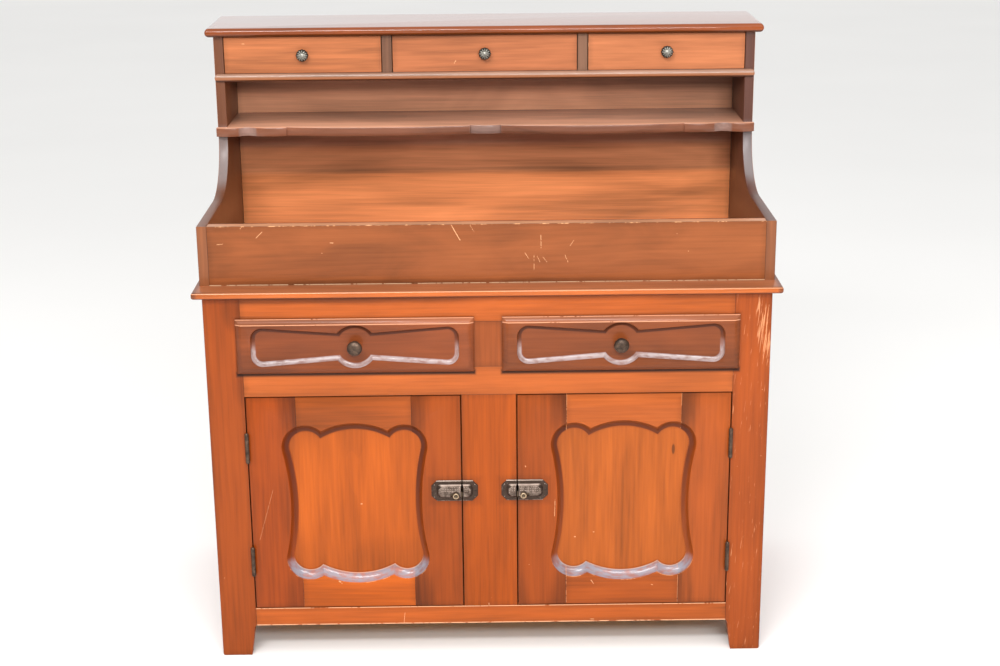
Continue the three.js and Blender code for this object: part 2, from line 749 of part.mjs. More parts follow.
// One end square at the gap beside the door, the other chamfered; `away` is its direction in X
function latchOutline(start, length, height, chamfer, away) {
  const end = start + away * length;
  const shoulder = end - away * chamfer;
  const up = height / 2;
  const lower = [[start, -up], [shoulder, -up], [end, chamfer - up]];
  const upper = lower.map(([x, z]) => [x, -z]).reverse();
  return [...lower, ...upper].map(([x, z]) => [x, latchZ + z]);
}

// The plate of a latch part with its raised hood
function hoodedPlate(start, length, away) {
  const plate = latchOutline(start, length, latchHeight, plateChamfer, away);
  const hood = latchOutline(start, length - hoodMargin, hoodHeight, hoodChamfer, away);
  return plateXZ(plate, front, front - plateThickness)
    .add(plateXZ(hood, front - boltBase, front - hoodProud));
}

function addLatch(name, side) {
  const z = latchZ - boltDrop;
  const back = front - boltBase;
  const face = back - boltThickness;
  const nose = halfCentre + fitGap;
  const tail = nose + boltLength;
  const knobX = latchEdge + boltKnobBack;
  const channel = (x0, x1) => box([side * x0, face - fitGap, z - boltHeight / 2 - fitGap],
    [side * x1, back + fitGap, z + boltHeight / 2 + fitGap]);
  const room = boltStemRadius + fitGap;
  const slot = box([side * (knobX - room), front - hoodProud - cutOver, z - room],
    [side * (knobX + boltTravel + room), face, z + room]);
  add(name + '_case', hoodedPlate(side * latchEdge, caseLength, side)
    .subtract(channel(latchEdge - cutOver, tail + boltTravel + fitGap))
    .subtract(slot), bronze);
  add(name + '_keeper', hoodedPlate(side * halfCentre, keeperLength, -side)
    .subtract(channel(halfCentre - boltTravel - boltThickness, halfCentre + cutOver)), bronze);
  const bar = box([side * nose, face, z - boltHeight / 2], [side * tail, back, z + boltHeight / 2]);
  const under = hoodProud + fitGap - boltBase - boltThickness;
  const grip = boltKnobShares.map(([across, along]) => [across * boltKnobRadius, along * boltKnobReach]);
  const root = -boltThickness / 2;
  const stem = [[0, root], [boltStemRadius, root], [boltStemRadius, under]];
  const button = turned([...stem, [boltKnobRadius, under], ...grip, [0, boltKnobReach]],
    [side * knobX, face, z]);
  add(name + '_bolt', bar.add(button), oldBrass);
}

function addDoors() {
  [['left', -1], ['right', 1]].forEach(([hand, side]) => {
    addDoor(hand + '_door', side);
    addHinge(hand + '_upper_hinge', side, doorTop - upperHingeDrop);
    addHinge(hand + '_lower_hinge', side, doorBottom + lowerHingeLift);
    addLatch(hand + '_latch', side);
  });
}

addFaceFrame();
addBaseCarcase();
addUpperPart();
addDrawers();
addDoors();

export default cabinet;
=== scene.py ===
# A dry sink cabinet in stained wood: doors with a scalloped opening, lipped drawers, an open trough,
# a scalloped shelf and three small drawers. Metres, the front faces -Y, Z is up.
import itertools
import json
import math

import bmesh
import bpy
from mathutils import Matrix, Vector

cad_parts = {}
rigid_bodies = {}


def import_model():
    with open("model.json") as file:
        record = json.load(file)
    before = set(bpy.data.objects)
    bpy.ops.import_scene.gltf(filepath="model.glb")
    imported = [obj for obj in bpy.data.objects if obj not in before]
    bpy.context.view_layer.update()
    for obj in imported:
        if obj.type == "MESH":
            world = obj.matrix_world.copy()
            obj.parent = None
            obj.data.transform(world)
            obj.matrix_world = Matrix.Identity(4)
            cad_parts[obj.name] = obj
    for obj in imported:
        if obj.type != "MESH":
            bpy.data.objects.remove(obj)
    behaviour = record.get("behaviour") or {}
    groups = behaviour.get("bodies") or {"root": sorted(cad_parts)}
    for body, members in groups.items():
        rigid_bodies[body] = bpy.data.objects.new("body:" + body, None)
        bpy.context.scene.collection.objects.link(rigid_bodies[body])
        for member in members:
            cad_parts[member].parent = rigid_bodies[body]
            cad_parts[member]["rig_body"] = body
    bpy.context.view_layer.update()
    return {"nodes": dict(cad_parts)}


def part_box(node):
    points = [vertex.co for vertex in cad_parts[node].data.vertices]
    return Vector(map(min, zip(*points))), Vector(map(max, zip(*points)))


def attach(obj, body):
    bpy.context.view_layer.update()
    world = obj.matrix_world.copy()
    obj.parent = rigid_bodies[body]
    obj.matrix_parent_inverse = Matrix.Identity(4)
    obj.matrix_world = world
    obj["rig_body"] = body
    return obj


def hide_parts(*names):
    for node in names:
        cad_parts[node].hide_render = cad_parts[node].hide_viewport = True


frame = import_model()
nodes = frame["nodes"]
bodyOf = {name: nodes[name]["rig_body"] for name in nodes}
box = {name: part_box(name) for name in nodes}
mm = 0.001
right = math.pi / 2
print("frame loaded:", len(nodes), "parts")


# The camera, at the place the photograph was taken from
cameraLook = dict(x=-0.0019, y=-3.4340, z=1.6555, yaw=0.4495, pitch=17.2424, roll=0.5124,
                  lens=62.64, sensor=36)


def addCamera(look):
    yaw, pitch, roll = (math.radians(look[key]) for key in ("yaw", "pitch", "roll"))
    ahead = Vector((math.sin(yaw) * math.cos(pitch), math.cos(yaw) * math.cos(pitch), -math.sin(pitch)))
    level = Vector((math.cos(yaw), -math.sin(yaw), 0))
    down = ahead.cross(level)
    aside = math.cos(roll) * level + math.sin(roll) * down
    below = math.cos(roll) * down - math.sin(roll) * level
    bpy.ops.object.camera_add(location=(look["x"], look["y"], look["z"]))
    camera = bpy.context.active_object
    camera.name = "camera"
    camera.data.lens = look["lens"]
    camera.data.sensor_width = look["sensor"]
    camera.rotation_mode = "QUATERNION"
    camera.rotation_quaternion = Matrix((aside, -below, -ahead)).transposed().to_quaternion()
    bpy.context.scene.camera = camera


addCamera(cameraLook)


# Shader maths: a wrapped socket adds Math nodes, a finish makes every other node
def maths(operation, swapped=False):
    def method(*values):
        inputs = dict(enumerate(values[::-1] if swapped else values))
        return values[0].finish.node("ShaderNodeMath", dict(operation=operation), inputs)
    return method


class Socket:
    def __init__(self, finish, link):
        self.finish = finish
        self.link = link

    __add__ = __radd__ = maths("ADD")
    __sub__ = maths("SUBTRACT")
    __rsub__ = maths("SUBTRACT", swapped=True)
    __mul__ = __rmul__ = maths("MULTIPLY")
    __truediv__ = maths("DIVIDE")
    __pow__ = maths("POWER")
    atMost = maths("MINIMUM")
    atLeast = maths("MAXIMUM")
    fraction = maths("FRACT")
    size = maths("ABSOLUTE")

    def step(self, low, high, start=0.0, end=1.0):  # smooth step between two values
        return self.finish.node("ShaderNodeMapRange", dict(interpolation_type="SMOOTHSTEP"),
                                {0: self, 1: low, 2: high, 3: start, 4: end})

    def fall(self, low, high):  # smooth step from one down to nought
        return self.step(low, high, 1.0, 0.0)

    def between(self, start, full, fall, end):  # up from start to full, down from fall to end
        return self.step(start, full) * self.fall(fall, end)

    def also(self, output):  # another output of the same node
        return Socket(self.finish, self.link.node.outputs[output])


class Finish:
    def __init__(self, owner):
        owner.use_nodes = True
        self.owner = owner
        self.tree = owner.node_tree
        self.tree.nodes.clear()

    def node(self, kind, settings=None, inputs=None, output=0):
        made = self.tree.nodes.new(kind)
        for key, value in (settings or {}).items():
            setattr(made, key, value)
        for key, value in (inputs or {}).items():
            if isinstance(value, Socket):
                self.tree.links.new(value.link, made.inputs[key])
            else:
                made.inputs[key].default_value = value
        return Socket(self, made.outputs[output]) if made.outputs else made

    def vector(self, x, y, z):
        return self.node("ShaderNodeCombineXYZ", None, {0: x, 1: y, 2: z})

    def noise(self, x, y, z, detail=2.0, warp=0.0):
        inputs = {"Vector": self.vector(x, y, z), "Scale": 1.0, "Detail": detail, "Distortion": warp}
        return self.node("ShaderNodeTexNoise", None, inputs)

    def evenNoise(self, waves, detail=2.0, shift=0.0):  # as many waves per metre along all three axes
        x, y, z = self.spot
        return self.noise(x * waves + shift, y * waves, z * waves, detail)

    def mix(self, share, first, second, blend="MIX"):
        return self.node("ShaderNodeMix", dict(data_type="RGBA", blend_type=blend),
                         {0: share, 6: first, 7: second}, 2)

    def ramp(self, value, stops):
        made = self.node("ShaderNodeValToRGB", None, {0: value})
        elements = made.link.node.color_ramp.elements
        while len(elements) < len(stops):
            elements.new(0.5)
        for element, (position, colour) in zip(elements, stops):
            element.position = position
            element.color = colour
        return made

    def place(self, output=3):  # the object's own x, y and z
        place = self.node("ShaderNodeTexCoord", None, None, output)
        self.spot = [self.node("ShaderNodeSeparateXYZ", None, {0: place}, axis) for axis in range(3)]
        return self.spot

    def bump(self, height, distance, strength):
        return self.node("ShaderNodeBump", None,
                         {"Height": height, "Distance": distance, "Strength": strength})

    def surface(self, **sockets):
        inputs = {key.replace("_", " "): value for key, value in sockets.items()}
        shader = self.node("ShaderNodeBsdfPrincipled", None, inputs)
        self.node("ShaderNodeOutputMaterial", None, {0: shader})
        return self.owner


def paint(code, shade=1.0):  # a colour from its six hexadecimal digits
    def linear(value):
        return value / 12.92 if value <= 0.04045 else ((value + 0.055) / 1.055) ** 2.4
    return (*(linear(int(code[i:i + 2], 16) / 255) * shade for i in (0, 2, 4)), 1.0)


def shares(colour, factors):
    return (*(min(value * factor, 1.0) for value, factor in zip(colour, factors)), 1.0)


# Wood. rings: growth rings per metre; late, streaks, bands, blotch: how much each changes the tone;
# runs: more runs, shorter streaks; mottle: finer blotches; seam: darkness right at the edges;
# specks: nearer to 1, fewer small dents
woodLooks = dict(
    warm=dict(rings=110, late=0.05, streaks=0.50, bands=0.50, blotch=0.85, runs=2.0, rough=0.42, coat=0.12,
              seam=0.42, specks=0.94),
    panel=dict(rings=70, late=0.06, streaks=0.58, bands=0.55, blotch=0.70, runs=2.4, rough=0.40, coat=0.12,
               seam=0.5, specks=0.97),
    brown=dict(rings=90, late=0.06, streaks=0.46, bands=0.45, blotch=0.95, runs=1.6, rough=0.42, coat=0.12,
               seam=0.42, specks=0.95),
    inside=dict(rings=130, late=0.25, streaks=0.5, bands=0.6, blotch=0.4, runs=1.0, rough=0.62, coat=0.0,
                seam=0.7, specks=0.98),
)
varnish = dict(mottle=1.0, gloss=0.16, polish=0.17, bend=1.5)
# Each noise of the grain: waves per metre along and across it, detail and warp
grainNoises = dict(wander=(1.6, 7.0, 2.0, 0.0), bands=(1.1, 24.0, 2.0, 0.3), streaks=(3.5, 170.0, 3.0, 0.0),
                   blotch=(2.4, 6.5, 3.0, 0.8), fibre=(16.0, 620.0, 2.0, 0.0))
grainLook = dict(heart=(0.09, 0.07, 0.05), slant=0.05, wander=3.0, fibre=0.16, deep=(0.42, 0.45, 0.48),
                 light=(1.48, 1.52, 1.56), ends=(0.05, 0.95), apart=7.31)
wearLook = dict(patch=34.0, crumb=240.0, shiver=300.0, shiverReach=1.6 * mm, cells=46.0, dent=(0.025, 0.05),
                grime=14 * mm, grimeShade=0.84, seam=(0.1 * mm, 0.9 * mm), arris=(0.3 * mm, 1.1 * mm),
                arrisChance=(0.72, 0.76), bare="dca578", bareShare=0.85, bareRough=0.25)
tornLook = dict(fibres=560.0, lean=50.0, depth=20.0, length=26.0, slant=0.12, field=(0.0, 1.2, 0.05, -0.16),
                ragged=(0.52, 0.58, 0.0, 0.85), colour="cf8a5e")
# The painted light in coves: the tint of the painted shade, the noise and thresholds of the painted
# reflection, the rubbed arris, the colour of the painted highlight on the inner lip, and extra coat under the
# reflection
coveLook = dict(reflectionNoise=(60.0, 200.0, 60.0), reflectionPatches=(0.30, 0.62, 0.42, 1.0), coveShade=(0.20, 0.14, 0.14),
                arrisWear=(0.50, 0.56), arrisBare=0.8, lip="d9c3ae", shine=0.5)
# The mean colour of each board's stain
insideStain = "b58a58"
stainOf = dict(
    back_board="d88552", bottom_rail="a9511b", centre_stile="9d4507",
    drawer_deck="9d755f", drawer_muntin="85411a", left_divider="795440",
    left_door_bottom_rail="ac4f0f", left_door_hinge_stile="8d3b0a",
    left_door_latch_stile="893c0c", left_door_panel="9f4a10",
    left_door_top_rail="924515", left_large_drawer_front="783a1a",
    left_side_board="62371f", left_side_panel="8c3d16",
    left_small_drawer_front="b46b42", left_stile="8b3d0d",
    middle_rail="a65321", middle_small_drawer_front="aa6540",
    right_divider="7a5743", right_door_bottom_rail="964512",
    right_door_hinge_stile="984717", right_door_latch_stile="8a3d0d",
    right_door_panel="9e4e17", right_door_top_rail="9a4b1b",
    right_large_drawer_front="763a19", right_side_board="543024",
    right_side_panel="8c3d16", right_small_drawer_front="aa6640",
    right_stile="924111", scalloped_shelf="7c4b35", top_board="853e14",
    top_rail="a9521d", trough_front="864925", worktop="985936",
)
woodNumbers = itertools.count(1)


class Wood(Finish):
    def __init__(self, part, kind, grain, changes):
        super().__init__(bpy.data.materials.new(part + "_wood"))
        self.seed = next(woodNumbers) * grainLook["apart"]
        self.look = {**varnish, **woodLooks[kind], **changes}
        self.low, self.high = box[part]
        self.middle = (self.low + self.high) / 2
        self.x, self.y, self.z = self.place()
        self.order = dict(x=(0, 2, 1), y=(1, 0, 2), z=(2, 0, 1))[grain]
        self.stain = paint(stainOf.get(part, insideStain))
        self.shine = self.look["coat"]

    def tint(self, share, colour):
        self.colour = self.mix(share, self.colour, colour)

    def grainNoise(self, kind, shift, runs=1.0, wide=1.0):
        length, width, detail, warp = grainNoises[kind]
        along, across, through = (self.spot[i] for i in self.order)
        return self.noise(along * (length * runs) + self.seed * shift, across * (width * wide),
                          through * width, detail, warp)

    def spread(self, place, reach, x=None):  # squared distance from a place, in reaches
        offX, offZ = ((x or self.x) - place[0]) / reach[0], (self.z - place[1]) / reach[1]
        return offX * offX + offZ * offZ

    def toned(self, base):
        low, high = grainLook["ends"]
        return self.ramp(self.tone, [(low, shares(base, grainLook["deep"])), (0.5, base),
                                     (high, shares(base, grainLook["light"]))])

    # Growth rings round a heart beside the board, streaks, and stain that took unevenly
    def growGrain(self, stains, drift):
        look, seed = self.look, self.seed
        along, across, through = (self.spot[i] for i in self.order)
        swing, back, sway = grainLook["heart"]
        heartAcross = self.middle[self.order[1]] + swing * math.sin(seed)
        heartThrough = self.middle[self.order[2]] + back + sway * math.cos(seed * 2)
        aside = across - heartAcross + along * (grainLook["slant"] * math.sin(seed * 3))
        behind = through - heartThrough
        rings = (aside * aside + behind * behind) ** 0.5 * look["rings"]
        self.late = (rings + self.grainNoise("wander", 1) * grainLook["wander"]).fraction() ** 2.0
        bands = self.grainNoise("bands", 2, look["runs"])
        self.streaks = self.grainNoise("streaks", 3, look["runs"])
        self.blotch = self.grainNoise("blotch", 4, look["mottle"], look["mottle"])
        self.fibre = self.grainNoise("fibre", 1)
        tone = (self.blotch - 0.5) * look["blotch"] + (bands - 0.5) * look["bands"]
        tone = tone + (self.fibre - 0.5) * grainLook["fibre"] + (self.streaks - 0.5) * look["streaks"]
        tone = tone - (self.late - 0.33) * look["late"] + 0.5
        # Darker or lighter fields: mostly stain, in a few places painted shade and light
        for place, reach, change in stains:
            tone = tone + self.spread(place, reach).step(0.0, 1.0, change, 0.0)
        if drift:
            axis, start, end, change = drift
            tone = tone + self.spot[axis].step(start, end, 0.0, change)
        self.tone = tone
        self.colour = self.toned(self.stain)

    # Dark edges, grime near the edges, and darker surrounds: painted shade round the large drawers, a
    # darkening round the latches. The edge distance is the middle one of the distances to three faces
    def addDirtAndShade(self, soot):
        x, z = self.x, self.z
        self.near = near = [(value - low).atMost(high - value)
                            for value, low, high in zip(self.spot, self.low, self.high)]
        self.edge = near[0].atMost(near[1]).atLeast(near[0].atLeast(near[1]).atMost(near[2]))
        grime = self.edge.step(0.0, wearLook["grime"], wearLook["grimeShade"], 1.0)
        shade = self.edge.step(*wearLook["seam"], self.look["seam"], 1.0) * grime
        # Each surround darkens the colour: painted shade round the large drawers, darker round the latches
        for (x0, x1, z0, z1), reach, deep in soot:
            offX = (x - (x0 + x1) / 2).size() - (x1 - x0) / 2
            offZ = (z - (z0 + z1) / 2).size() - (z1 - z0) / 2
            shade = shade * offX.atLeast(offZ).step(0.0, reach, deep, 1.0)
        self.colour = self.mix(1.0, self.colour, self.vector(shade, shade, shade), "MULTIPLY")

    def crumbly(self, start, full):  # patches with crumbly edges
        return (self.patches * 0.6 + self.crumbs * 0.4).step(start, full)

    def wearAndLightPatches(self, share):
        start = 0.66 - share * 0.36
        return self.crumbly(start, start + 0.08)

    def scratch(self, x, z, start, end, width):
        dx, dz = end[0] - start[0], end[1] - start[1]
        fromX, fromZ = x - start[0], z - start[1]
        along = ((fromX * dx + fromZ * dz) / (dx * dx + dz * dz)).atLeast(0.0).atMost(1.0)
        offX, offZ = fromX - along * dx, fromZ - along * dz
        return ((offX * offX + offZ * offZ) ** 0.5).fall(width * 0.4, width * 0.75)

    # Bare wood along worn arrises, in dents and scratches, and one torn patch
    def wearDown(self, worn, marks, scrape):
        x, y, z = self.spot
        self.patches = self.evenNoise(wearLook["patch"], 3.0, self.seed)
        self.crumbs = self.evenNoise(wearLook["crumb"])
        bare = self.edge.fall(*wearLook["arris"]) * self.patches.step(*wearLook["arrisChance"])
        for axis, side, reach, share in worn:
            away = (self.high[axis] - self.spot[axis]) if side > 0 else (self.spot[axis] - self.low[axis])
            rim = self.edge.fall(reach * 0.5, reach) * away.fall(reach, reach * 1.5)
            bare = bare.atLeast(rim * self.wearAndLightPatches(share))
        cell, specks = wearLook["cells"], self.look["specks"]
        cells = self.node("ShaderNodeTexVoronoi", None,
                          {"Vector": self.vector(x * cell + self.seed, y * cell, z * cell), "Scale": 1.0})
        chosen = self.node("ShaderNodeSeparateXYZ", None, {0: cells.also(1)}).step(specks, specks + 0.01)
        bare = bare.atLeast(cells.step(*wearLook["dent"], 0.8, 0.0) * chosen)
        face = y.fall(self.low.y + mm, self.low.y + 2 * mm) if marks or scrape else None
        if marks:
            shaken = (self.evenNoise(wearLook["shiver"]) - 0.5) * wearLook["shiverReach"]
            markX, markZ = x + shaken, z + shaken
        for mark in marks:
            bare = bare.atLeast(self.scratch(markX, markZ, *mark) * face * self.crumbs.step(0.36, 0.44))
        if scrape:
            centre, reach = scrape
            torn = self.noise(x * tornLook["fibres"] - z * tornLook["lean"], y * tornLook["depth"],
                              z * tornLook["length"], 3.0)
            field = self.spread(centre, reach, x + (z - centre[1]) * tornLook["slant"])
            torn = torn + field.step(*tornLook["field"])
            self.tint(torn.step(*tornLook["ragged"]) * face, paint(tornLook["colour"]))
        self.bare = bare

    # A cove: painted shade in its upper part; a painted reflection, a rubbed arris and a painted highlight on
    # the inner lip in its lower part
    def paintCoveShadeAndReflection(self, cove):
        y, z = self.y, self.z
        start, end, turn = cove["start"], cove["start"] + cove["depth"], cove["turn"]
        inside = y.between(start + 0.9 * mm, start + 2 * mm, end - 0.6 * mm, end - 0.1 * mm)
        for axis, half in zip((0, 2), cove.get("half", ())):
            off = self.spot[axis] - self.middle[axis]
            inside = inside * (off * off).fall(half ** 2, (half + mm) ** 2)
        lower = z.fall(turn - cove["blend"], turn + cove["blend"])
        reflectionNoise = self.noise(*(value * waves for value, waves in zip(self.spot, coveLook["reflectionNoise"])), 3.0)
        # Painted shade in the upper cove, stronger further in; painted reflection in the lower cove
        coveShade = inside * (1.0 - lower) * z.step(turn, cove["top"], cove["side"], cove["dark"])
        coveReflection = inside * lower * reflectionNoise.step(*coveLook["reflectionPatches"]) * cove["silver"]
        deeper = y.step(start + mm, end - 2 * mm, 0.35, 1.0)
        self.tint(coveShade * deeper, shares(self.stain, coveLook["coveShade"]))
        self.tint(coveReflection, paint(cove["tint"]))
        if "lip" in cove:
            arris = y.between(start + 0.1 * mm, start + 0.3 * mm, start + 0.7 * mm, start + 1.1 * mm)
            rim = arris * lower * self.crumbly(*coveLook["arrisWear"])
            self.bare = self.bare.atLeast(rim * coveLook["arrisBare"])
            # A painted highlight on the inner lip, in the lower part only
            lip = y.between(end - 0.7 * mm, end - 0.3 * mm, end, end + 0.5 * mm) * lower
            self.tint(lip * cove["lip"], paint(coveLook["lip"]))
        self.shine = coveReflection * coveLook["shine"] + self.look["coat"]

    # A grey edge: patina and a painted reflection along a glossy edge
    def greyPatinaAndSheen(self, axis, share, tint, start, end):
        within = self.near[axis].step(0.4 * mm, 1.2 * mm) * self.blotch.step(0.35, 0.65, 0.4, 1.0)
        within = within * self.z.between(start, start + 0.03, end - 0.02, end)
        within = within * self.y.fall(self.high.y - 20 * mm, self.high.y - 10 * mm)
        self.tint(within * share, paint(tint))

    def finished(self):
        look, bare = self.look, self.bare
        self.tint(bare * wearLook["bareShare"], paint(wearLook["bare"]))
        height = self.fibre * 0.25 + self.streaks * 0.35 - self.late * 0.3 - bare * 1.5
        rough = (self.blotch - 0.5) * 0.16 + look["rough"] + bare * wearLook["bareRough"]
        return self.surface(Base_Color=self.colour, Roughness=rough, Specular_IOR_Level=look["gloss"],
                            Coat_Weight=(1.0 - bare) * self.shine, Coat_Roughness=look["polish"],
                            Coat_IOR=look["bend"], Normal=self.bump(height, 0.35 * mm, 0.2))


# worn: edges rubbed bare; marks: scratches; scrape: a torn patch; stains: darker or lighter fields,
# mostly stain, some painted shade and light; haze: tinted zones along an axis, the board's own
# colour in some and painted light, shade and sheen in others; drift: a slow change of tone; soot: dark
# surrounds, painted shade round the large drawers and darker round the latches; lines: thin lines of rubbed
# wear, painted highlight and painted shade; cove: the depth range and height of a moulded edge, and its
# painted shade and reflection; patinaAndSheen: a grey edge, patina and a painted reflection
def wood(part, kind, grain, worn=(), marks=(), scrape=None, stains=(), cove=None, patinaAndSheen=None,
         haze=(), drift=None, soot=(), lines=(), **changes):
    finish = Wood(part, kind, grain, changes)
    finish.growGrain(stains, drift)
    # Tinted zones: the board's own colour in some, painted light, shade, sheen and glints in others
    for axis, start, end, blend, share, tint in haze:
        zone = finish.spot[axis].between(start - blend, start + blend, end - blend, end + blend)
        finish.tint(zone * share, finish.toned(paint(tint)))
    finish.addDirtAndShade(soot)
    finish.wearDown(worn, marks, scrape)
    if cove:
        finish.paintCoveShadeAndReflection(cove)
    if "sheen" in finish.look:  # glossy above a height only
        start = finish.look["sheen"]
        finish.shine = finish.z.step(start, start + mm, 0.12, 1.0) * finish.shine
    if patinaAndSheen:
        finish.greyPatinaAndSheen(*patinaAndSheen)
    # Thin lines: rubbed wear, painted highlights and painted shade
    for axis, place, width, share, tint in lines:
        band = (finish.spot[axis] - place).size().fall(width * 0.3, width * 0.5)
        finish.tint(band * finish.wearAndLightPatches(share), paint(tint))
    return finish.finished()


# Metals: a dark skin rubbed through to the bright metal
metalLook = dict(tarnish=90.0, fine=700.0, wearAndLightPatches=(0.34, 0.72))
metalLooks = dict(
    bronze=dict(skin="2b211b", bright="6a5546", rough=0.44, metallic=0.7),
    latch=dict(skin="463830", bright="a89588", rough=0.38, metallic=0.85),
    pewter=dict(skin="2e2c28", bright="96938a", rough=0.46, metallic=0.8),
    brass=dict(skin="5f5040", bright="b7a184", rough=0.40, metallic=0.85),
)


# rub: depths where the metal is bright and where it stays dark; then painted highlight lines at some heights
def metal(part, kind, rub=None, paintedHighlights=()):
    look = metalLooks[kind]
    finish = Finish(bpy.data.materials.new(part + "_metal"))
    x, y, z = finish.place()
    fine = finish.evenNoise(metalLook["fine"])
    share = finish.evenNoise(metalLook["tarnish"], 3.0) * 0.6 + fine * 0.4
    if rub:
        share = share + y.step(rub[0], rub[1], 0.2, -0.2)
    for height, width, change, depth in paintedHighlights:
        crest = (z - height).size().step(width * 0.35, width * 0.65, change, 0.0)
        share = share + crest * y.fall(depth, depth + 0.3 * mm)
    share = share.step(*metalLook["wearAndLightPatches"])
    return finish.surface(Base_Color=finish.mix(share, paint(look["skin"]), paint(look["bright"])),
                          Metallic=look["metallic"], Roughness=(0.5 - share) * 0.16 + look["rough"],
                          Normal=finish.bump(fine, 0.05 * mm, 0.2))


# Modelling helpers
def clearAll():
    if bpy.context.active_object and bpy.context.active_object.mode != "OBJECT":
        bpy.ops.object.mode_set(mode="OBJECT")
    bpy.ops.object.select_all(action="DESELECT")


def pick(*pieces):
    clearAll()
    for piece in pieces:
        piece.select_set(True)
    bpy.context.view_layer.objects.active = pieces[0]


def named(name):
    piece = bpy.context.active_object
    piece.name = name
    piece.data.name = name
    return piece


def titled(part):  # left_door becomes LeftDoor
    return part.replace("_", " ").title().replace(" ", "")


def arc(cx, cz, rx, rz, start, end, steps):
    angles = [start + (end - start) * i / steps for i in range(steps + 1)]
    return [(cx + rx * math.cos(angle), cz + rz * math.sin(angle)) for angle in angles]


def hoop(x, z, radius, sides):  # points round a circle
    angles = [4 * right * i / sides for i in range(sides)]
    return [(x + radius * math.cos(angle), z + radius * math.sin(angle)) for angle in angles]


def mirrored(points):  # the other half of a symmetrical outline
    return [(-x, z) for x, z in reversed(points)]


# A closed body drawn through rings of equally many points: a circle, extruded ring by ring
def throughRings(name, rings):
    clearAll()
    bpy.ops.mesh.primitive_circle_add(vertices=len(rings[0]), radius=1, calc_uvs=False)
    piece = named(name)
    bpy.ops.object.mode_set(mode="EDIT")
    mesh = bmesh.from_edit_mesh(piece.data)
    mesh.verts.ensure_lookup_table()
    places = {}
    for i, point in enumerate(rings[0]):
        mesh.verts[i].co = point
        places[tuple(mesh.verts[i].co)] = i
    for ring in rings[1:]:
        bpy.ops.mesh.extrude_edges_move()
        mesh = bmesh.from_edit_mesh(piece.data)
        moved = {}
        for vertex in [v for v in mesh.verts if v.select]:
            i = places[tuple(vertex.co)]
            vertex.co = ring[i]
            moved[tuple(vertex.co)] = i
        places = moved
    bpy.ops.mesh.edge_face_add()
    bpy.ops.mesh.select_all(action="DESELECT")
    bpy.ops.mesh.select_non_manifold()
    bpy.ops.mesh.edge_face_add()
    bpy.ops.mesh.select_all(action="SELECT")
    bpy.ops.mesh.normals_make_consistent(inside=False)
    bpy.ops.object.mode_set(mode="OBJECT")
    return piece


def upright(name, x, y, levels, sides):  # turned about Z, from radii and heights
    return throughRings(name, [[(*point, z) for point in hoop(x, y, radius, sides)]
                               for radius, z in levels])


def facing(name, x, z, levels, sides):  # turned about Y, from radii and depths
    return throughRings(name, [[(across, y, up) for across, up in hoop(x, z, radius, sides)]
                               for radius, y in levels])


def lengths(**sizes):  # a dictionary's millimetres as metres
    return {key: size * mm for key, size in sizes.items()}


# A board between two opposite corners, with eased edges
def board(name, corner, opposite, ease=0.5 * mm):
    clearAll()
    low, high = (Vector(map(end, corner, opposite)) for end in (min, max))
    bpy.ops.mesh.primitive_cube_add(size=1, location=(low + high) / 2, calc_uvs=False)
    piece = named(name)
    piece.scale = high - low
    bpy.ops.object.transform_apply(location=True, rotation=True, scale=True)
    if ease:
        bpy.ops.object.mode_set(mode="EDIT")
        bpy.ops.mesh.select_all(action="SELECT")
        bpy.ops.mesh.bevel(offset=ease, segments=2, affect="EDGES")
        bpy.ops.object.mode_set(mode="OBJECT")
    return piece


def cutter(corner, opposite):
    return board("cut", corner, opposite, 0)


def carve(piece, *cutters):
    for tool in cutters:
        cut = piece.modifiers.new("cut", "BOOLEAN")
        cut.operation = "DIFFERENCE"
        cut.solver = "EXACT"
        cut.object = tool
        pick(piece)
        bpy.ops.object.modifier_apply(modifier=cut.name)
        bpy.data.objects.remove(tool)
    return piece


def copied(piece):
    other = piece.copy()
    other.data = piece.data.copy()
    bpy.context.scene.collection.objects.link(other)
    return other


def joined(*pieces):
    pick(*pieces)
    bpy.ops.object.join()
    return pieces[0]


def done(piece, part, material, sharp=30):
    pick(piece)
    bpy.ops.object.transform_apply(location=True, rotation=True, scale=True)
    piece.data.materials.clear()
    piece.data.materials.append(material)
    bpy.ops.object.shade_smooth_by_angle(angle=math.radians(sharp))
    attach(piece, bodyOf[part])
    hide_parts(part)


# Boards that keep the frame's own shape: a material each, and edges eased by live modifiers
def keep(part, kind, grain, ease=0.4 * mm, **changes):
    piece = nodes[part]
    piece.data.materials.clear()
    piece.data.materials.append(wood(part, kind, grain, **changes))
    weld = piece.modifiers.new("weld", "WELD")
    weld.merge_threshold = 0.01 * mm
    easing = piece.modifiers.new("ease", "BEVEL")
    easing.width = ease
    easing.segments = 2
    easing.limit_method = "ANGLE"
    easing.angle_limit = math.radians(35)


# Scratches from both their ends (x, z, x, z) and their width, in millimetres
def scratches(*rows):
    return [((x0 * mm, z0 * mm), (x1 * mm, z1 * mm), width * mm) for x0, z0, x1, z1, width in rows]


def around(part, drop=0.0):  # the part's outline on the front, in x and z
    low, high = box[part]
    return (low.x, high.x, low.z - drop, high.z)


def drawerShade(hand):  # painted shade round a large drawer's proud lip, and a painted shadow line under it
    x0, x1, z0, z1 = around(hand + "_large_drawer_front")
    return [((x0, x1, z0, z1), 7 * mm, 0.8), ((x0 + mm, x1 - mm, z0 - 2.5 * mm, z0), 6.5 * mm, 0.12)]


# Darker round a latch's plates
def latchDarkening(hand, halves=("case", "keeper")):
    return [(around(hand + "_latch_" + half, 2 * mm), 14 * mm, 0.8) for half in halves]


